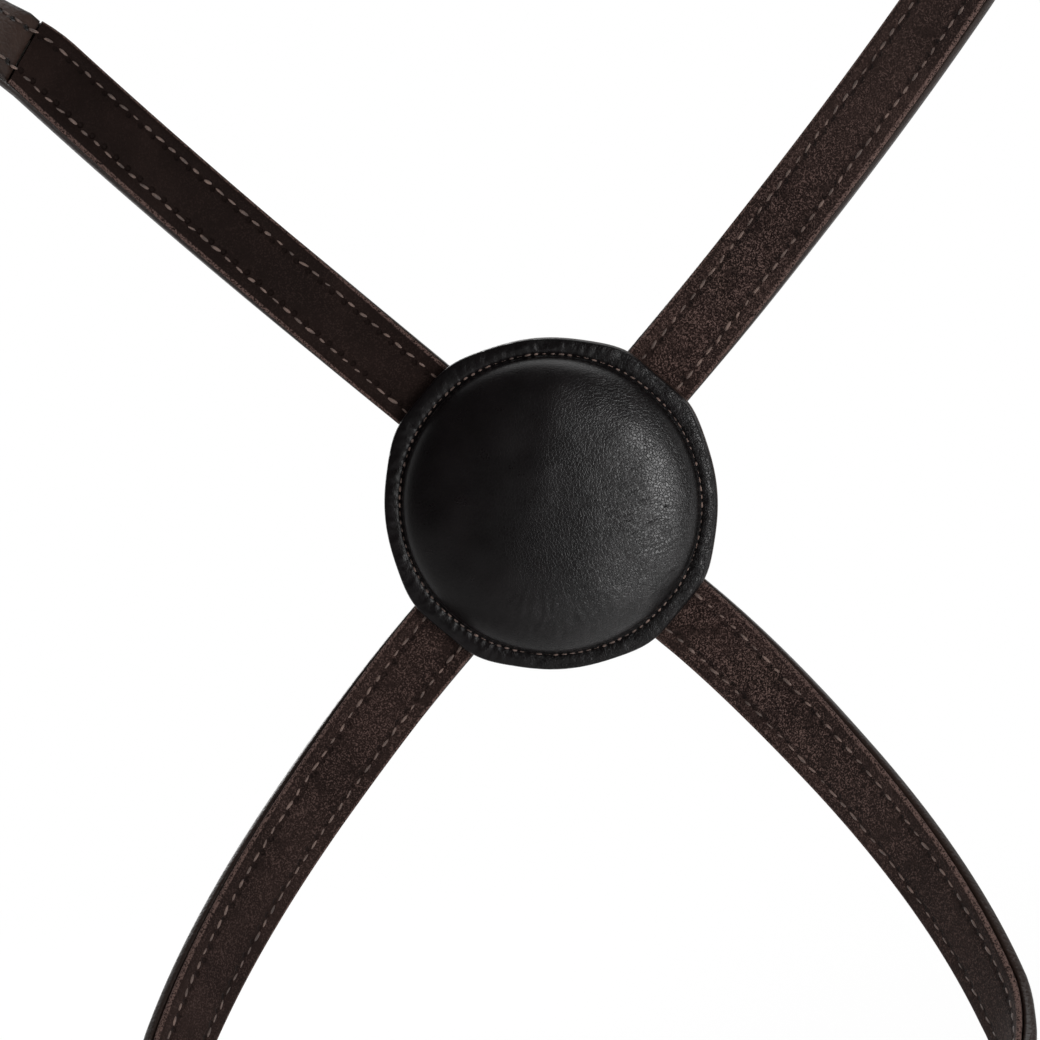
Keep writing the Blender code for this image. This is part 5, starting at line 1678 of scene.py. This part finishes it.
def nose_stitches():
    nose = nose_sizes()
    buckle = nose.buckle
    pitch = settings().stitches.pitch
    depth = settings().leather.groove_depth
    half = STRAP_WIDTH / 2
    over = step_over(nose.disc_mark)
    tail_thick = [(nose.pin + q, value) for q, value in skive_knots(OUTER_LEATHER)]
    thick = billet_thickness(nose.low_end)
    bar_inner = bar_inner_knots(buckle)

    def billet_show(d):
        return eased(nose.ring_inner, d) + eased(thick, d) - depth

    def buckle_show(d):
        low = eased(nose.ring_inner if d < nose.disc_mark else bar_inner, d)
        return low + eased(over, d) + OUTER_LEATHER - depth

    def under(d):
        if d < nose.pin + RING_TAIL:
            return -eased(nose.ring_inner, d) - eased(tail_thick, d)
        return -CLEARANCE / 2 - LINING_LEATHER + depth

    crossing = half + pitch
    hidden = DISC_RADIUS - pitch
    first = nose.ring_inner[-1][0]
    end = nose.low_end + SKIVE_RUN
    bar_end = buckle.bar - LINED_BUCKLE_TAIL
    show = row_spots(nose.route, first, nose.disc_mark - crossing, billet_show, half)
    show += row_spots(nose.route, nose.disc_mark + crossing, end, billet_show, half)
    sew("stitches_billet_show", show, "nosepiece")
    show = row_spots(buckle.route, first, bar_end, buckle_show, half)
    sew("stitches_buckle_show", show, "nosepiece")
    for name, way, last in (("billet", nose.route, end), ("buckle", buckle.route, bar_end)):
        back = row_spots(way, first, nose.disc_mark - hidden, under, half, True)
        back += row_spots(way, nose.disc_mark + hidden, last, under, half, True)
        sew("stitches_" + name + "_lining", back, "nosepiece")


def disc_stitches():
    """The ring of stitches on the cover, and what shows of it between the straps on the other side."""
    stitches = settings().stitches
    disc = settings().disc
    heights = disc_heights()
    stand = disc_stand()
    count = stitch_count()
    out = Vector((0, 0, 1))
    top = out * (heights.flange + COVER_LEATHER - disc.pucker / 2)
    under = out * heights.base_top
    clear = STRAP_WIDTH / 2 + stitches.disc_pitch
    half = CROSSING_ANGLE / 2
    strap_ways = [Vector((math.sin(turned), math.cos(turned), 0)) for turned in (half, -half)]
    cover, base = [], []
    for k in range(count):
        angle = 2 * math.pi * (k + 0.5) / count
        reach = disc.ring * rim_factor(disc.ring, angle)
        point = Vector((math.cos(angle), math.sin(angle), 0)) * reach
        along = Vector((-math.sin(angle), math.cos(angle), 0))
        cover.append(stand @ place(point + top, along, out))
        if all(point.cross(way).length > clear for way in strap_ways):
            base.append(stand @ place(point + under, along, -out))
    sew("stitches_disc_cover", cover, "nosepiece", stitches.disc_length)
    sew("stitches_disc_base", base, "nosepiece", stitches.disc_length)


def tail_stitches(name, buckle, pin, way, first, last, tail_inner, strap_inner, body):
    """Stitches that hold a turned-back tail, on the strap's show face and on the tail."""
    start, end = sorted((pin + way * first, pin + way * last))
    thick = skive_knots(buckle.leather)

    def show(d):
        return eased(strap_inner, (d - pin) * way) + buckle.leather

    def back(d):
        q = (d - pin) * way
        return -eased(tail_inner, q) - eased(thick, q)

    spots = row_spots(buckle.route, start, end, show, buckle.half)
    spots += row_spots(buckle.route, start, end, back, buckle.half, True)
    sew("stitches_" + buckle.name + name, spots, body)


def strap_stitches():
    spare = settings().stitches.pitch / 2
    for buckle, body, width in ((jaw_buckle(), "jaw_strap", STRAP_WIDTH),
                                (cheek_buckle(), "headstall", HEAD_WIDTH)):
        knots = ring_knots(width)
        near, off = ring_pin(width), buckle.route.length - ring_pin(width)
        for name, pin, way in (("_ring_near", near, 1), ("_ring_off", off, -1)):
            tail_stitches(name, buckle, pin, way, knots[-1][0], RING_TAIL - spare, knots, knots, body)
        tail_stitches("_buckle", buckle, buckle.bar, -1, KEEPER_PLACE + KEEPER_WIDTH,
                      buckle.tail_length - spare, buckle.tail_knots(), buckle.strap_knots(), body)


# Stage


def pale_floor():
    """A round floor that fades into the white of the room a little way from the noseband.

    Reflections see its white behind the noseband, and its own shade in front.
    """
    height = settings().stage.floor_height
    bm = bmesh.new()
    bmesh.ops.create_circle(bm, cap_ends=True, segments=FLOOR_SEGMENTS,
                            radius=settings().stage.floor_radius,
                            matrix=Matrix.Translation((0, 0, height)))
    made = bpy.data.materials.new("pale_floor")
    made.use_nodes = True
    tree = made.node_tree
    shader = tree.nodes["Principled BSDF"]
    where = node(tree, "TexCoord").outputs["Object"]
    grain = noise_of(tree, where, 8.0, 4.0)
    colour = blend(tree, grain, (0.86, 0.86, 0.86, 1), (0.9, 0.9, 0.9, 1))
    tree.links.new(colour, shader.inputs["Base Color"])
    shader.inputs["Roughness"].default_value = 0.8
    away = node(tree, "VectorMath", {0: where, 1: (0, 0, height)}, operation="DISTANCE").outputs["Value"]
    share = plus(tree, times(tree, fade(tree, away, 0.3, 0.75), 0.3), 0.7)
    path = node(tree, "LightPath").outputs
    behind = fade(tree, node(tree, "SeparateXYZ", {0: where}).outputs[1], -0.1, 0.5)
    seen = calc(tree, "MAXIMUM", path["Is Camera Ray"], path["Is Transmission Ray"])
    seen = calc(tree, "MAXIMUM", seen, times(tree, path["Is Glossy Ray"], behind))
    glow = node(tree, "Emission", {"Color": (1, 1, 1, 1), "Strength": 1.0}).outputs[0]
    factor = times(tree, seen, share)
    mixed = node(tree, "MixShader", {0: factor, 1: shader.outputs[0], 2: glow}).outputs[0]
    tree.links.new(mixed, tree.nodes["Material Output"].inputs["Surface"])
    floor = finished("floor", bm, made)


def room_light():
    """A soft room, brighter on the near side, where the off straps face.

    The camera sees it as white, and so do reflections of the half of the room behind the noseband.
    """
    world = bpy.data.worlds.new("studio")
    bpy.context.scene.world = world
    world.use_nodes = True
    tree = world.node_tree
    background = tree.nodes["Background"]
    way = node(tree, "SeparateXYZ", {0: node(tree, "TexCoord").outputs["Generated"]}).outputs
    side = plus(tree, times(tree, way[0], -0.95), times(tree, way[2], 0.2))
    level = fade(tree, side, -0.7, 0.8)
    strength = times(tree, plus(tree, times(tree, level, 1.6), 0.1),
                    settings().stage.fill)
    mirror_level = plus(tree, times(tree, fade(tree, way[1], -0.15, 0.5), 0.97), 0.03)
    path = node(tree, "LightPath").outputs
    seen = calc(tree, "MAXIMUM", path["Is Camera Ray"], path["Is Transmission Ray"])
    white = calc(tree, "MAXIMUM", seen, times(tree, path["Is Glossy Ray"], mirror_level))
    lit = calc(tree, "MAXIMUM", path["Is Glossy Ray"], seen)
    shown = plus(tree, times(tree, calc(tree, "SUBTRACT", 1.0, lit), strength), white)
    background.inputs["Color"].default_value = (1, 1, 1, 1)
    tree.links.new(shown, background.inputs["Strength"])


def area_light(name, point, size, target, power):
    data = bpy.data.lights.new(name, "AREA")
    data.shape = "RECTANGLE"
    data.size, data.size_y = size
    data.energy = power
    obj = bpy.data.objects.new(name, data)
    aim = (target - point).to_track_quat("-Z", "Y").to_matrix().to_4x4()
    obj.matrix_world = Matrix.Translation(point) @ aim
    obj.visible_camera = False
    bpy.context.scene.collection.objects.link(obj)


def picture_camera():
    """A camera on the horse's side of the disc, turned a little, as in the photograph."""
    stage = settings().stage
    target = nose_route().disc_centre
    stand = Matrix.Rotation(stage.side, 4, "Z") @ Matrix.Rotation(math.pi / 2 - stage.height, 4, "X")
    rolled = stand @ Matrix.Rotation(-stage.roll, 4, "Z")
    data = bpy.data.cameras.new("camera")
    data.sensor_width = SENSOR_WIDTH
    data.lens = data.sensor_width * stage.distance / stage.view_width
    data.clip_start = stage.distance / 50
    data.clip_end = CLIP_END
    obj = bpy.data.objects.new("camera", data)
    offset = rolled @ Vector((-stage.disc_right, -stage.disc_up, stage.distance))
    obj.matrix_world = Matrix.Translation(target + offset) @ rolled
    bpy.context.scene.collection.objects.link(obj)
    bpy.context.scene.camera = obj


# Operators


class NOSEBAND_OT_nose_straps(bpy.types.Operator):
    """Builds the two crossing nose straps with their linings and raising cords"""
    bl_idname = "noseband.nose_straps"
    bl_label = "Nose straps"

    def execute(self, context):
        nose = nose_sizes()
        billet_nose_strap()
        buckle_nose_strap()
        billet_end = nose.low_end + SKIVE_RUN
        buckle_end = nose.buckle.bar - LINED_BUCKLE_TAIL - CLEARANCE
        first = nose.pin + RING_TAIL + CLEARANCE
        disc_start, disc_end = nose.disc_mark - LINING_DISC_REACH, nose.disc_mark + LINING_DISC_REACH
        marks = [mark for mark, height in nose.rise]
        for side, way, last, upper_wear, lower_wear in (
            ("billet", nose.route, billet_end, "_smooth", ""),
            ("buckle", nose.buckle.route, buckle_end, "", "_worn"),
        ):
            lining(side + "_upper_lining", way, first, disc_start, "lining_leather" + upper_wear)
            lining(side + "_lower_lining", way, disc_end, last, "lining_leather" + lower_wear)
            raising_cord(side + "_upper_cord", way, nose.rise, marks[1], marks[2])
            raising_cord(side + "_lower_cord", way, nose.rise, marks[5], marks[6])
        return {"FINISHED"}


class NOSEBAND_OT_jaw_strap(bpy.types.Operator):
    """Builds the two straps that close the upper loop behind the rings"""
    bl_idname = "noseband.jaw_strap"
    bl_label = "Jaw strap"

    def execute(self, context):
        buckle = jaw_buckle()
        short_strap("jaw_short_strap", "jaw_buckle_strap", "jaw_strap", STRAP_WIDTH, buckle)
        long_strap("jaw_long_strap", "jaw_billet_strap", "jaw_strap", STRAP_WIDTH, buckle)
        return {"FINISHED"}


class NOSEBAND_OT_headpiece(bpy.types.Operator):
    """Builds the headpiece and the near cheek's short strap"""
    bl_idname = "noseband.headpiece"
    bl_label = "Headpiece"

    def execute(self, context):
        buckle = cheek_buckle()
        short_strap("cheek_short_strap", "cheek_strap", "headstall", HEAD_WIDTH, buckle)
        long_strap("headpiece", "headpiece_strap", "headstall", HEAD_WIDTH, buckle)
        return {"FINISHED"}


class NOSEBAND_OT_disc(bpy.types.Operator):
    """Builds the padded disc: soft cover, pad and base leather"""
    bl_idname = "noseband.disc"
    bl_label = "Padded disc"

    def execute(self, context):
        disc_base()
        disc_pad()
        disc_cover()
        return {"FINISHED"}


class NOSEBAND_OT_metal(bpy.types.Operator):
    """Builds the cheek rings and the buckles' frames and tongues"""
    bl_idname = "noseband.metal"
    bl_label = "Rings and buckles"

    def execute(self, context):
        cheek_ring("ring_near", -1, "ring_near")
        cheek_ring("ring_off", 1, "ring_off")
        for buckle in (chin_buckle(), jaw_buckle(), cheek_buckle()):
            buckle_frame(buckle, buckle.name + "_frame")
            buckle_tongue(buckle, buckle.name + "_tongue")
        return {"FINISHED"}


class NOSEBAND_OT_keepers(bpy.types.Operator):
    """Builds the fixed and the sliding keepers"""
    bl_idname = "noseband.keepers"
    bl_label = "Keepers"

    def execute(self, context):
        under_strap = -CLEARANCE / 2
        under_tail = -CLEARANCE / 2 - LINING_LEATHER - CLEARANCE
        for buckle, body in ((chin_buckle(), "nosepiece"), (jaw_buckle(), "jaw_strap"),
                             (cheek_buckle(), "headstall")):
            name = buckle.name
            keeper(name + "_keeper", name + "_fixed_keeper", buckle, KEEPER_PLACE, under_strap, KEEPER_BACK,
                   KEEPER_WIDTH, body)
            keeper(name + "_runner", name + "_runner_keeper", buckle, RUNNER_PLACE, under_tail,
                   KEEPER_LEATHER, RUNNER_WIDTH, name + "_runner")
        return {"FINISHED"}


class NOSEBAND_OT_stitching(bpy.types.Operator):
    """Sews the straps, the disc and the turned-back ends"""
    bl_idname = "noseband.stitching"
    bl_label = "Stitching"

    def execute(self, context):
        nose_stitches()
        disc_stitches()
        strap_stitches()
        return {"FINISHED"}


class NOSEBAND_OT_stage(bpy.types.Operator):
    """Sets up the floor, the soft lights and the camera"""
    bl_idname = "noseband.stage"
    bl_label = "Stage"

    def execute(self, context):
        stage = settings().stage
        pale_floor()
        room_light()
        target = nose_route().disc_centre
        area_light("key", *KEY_LIGHT, target, stage.key_power)
        area_light("top", *TOP_LIGHT, target, stage.far_power)
        area_light("back", *BACK_LIGHT, target, stage.far_power)
        picture_camera()
        context.scene.view_settings.view_transform = "Standard"
        return {"FINISHED"}


class NOSEBAND_PT_panel(bpy.types.Panel):
    """Lists the noseband's sizes, colours and pieces"""
    bl_idname = "NOSEBAND_PT_panel"
    bl_label = "Noseband"
    bl_space_type = "VIEW_3D"
    bl_region_type = "UI"
    bl_category = "Noseband"

    def draw(self, context):
        layout = self.layout
        for operator in OPERATORS:
            layout.operator(operator.bl_idname)
        for group in ("leather", "stitches", "disc", "metal", "stage"):
            box = layout.box()
            box.label(text=group.capitalize())
            values = getattr(context.scene.noseband, group)
            for key in values.__annotations__:
                box.prop(values, key)


OPERATORS = (
    NOSEBAND_OT_nose_straps, NOSEBAND_OT_jaw_strap, NOSEBAND_OT_headpiece, NOSEBAND_OT_disc,
    NOSEBAND_OT_metal, NOSEBAND_OT_keepers, NOSEBAND_OT_stitching, NOSEBAND_OT_stage,
)
CLASSES = (
    LeatherSettings, StitchSettings, DiscSettings, MetalSettings, StageSettings, NosebandSettings,
    *OPERATORS, NOSEBAND_PT_panel,
)


def register():
    for each in CLASSES:
        bpy.utils.register_class(each)
    bpy.types.Scene.noseband = PointerProperty(type=NosebandSettings)


def unregister():
    del bpy.types.Scene.noseband
    for each in reversed(CLASSES):
        bpy.utils.unregister_class(each)


def main():
    register()
    bpy.ops.noseband.nose_straps()
    bpy.ops.noseband.jaw_strap()
    bpy.ops.noseband.headpiece()
    bpy.ops.noseband.disc()
    bpy.ops.noseband.metal()
    bpy.ops.noseband.keepers()
    bpy.ops.noseband.stitching()
    bpy.ops.noseband.stage()


if __name__ == "__main__":
    main()
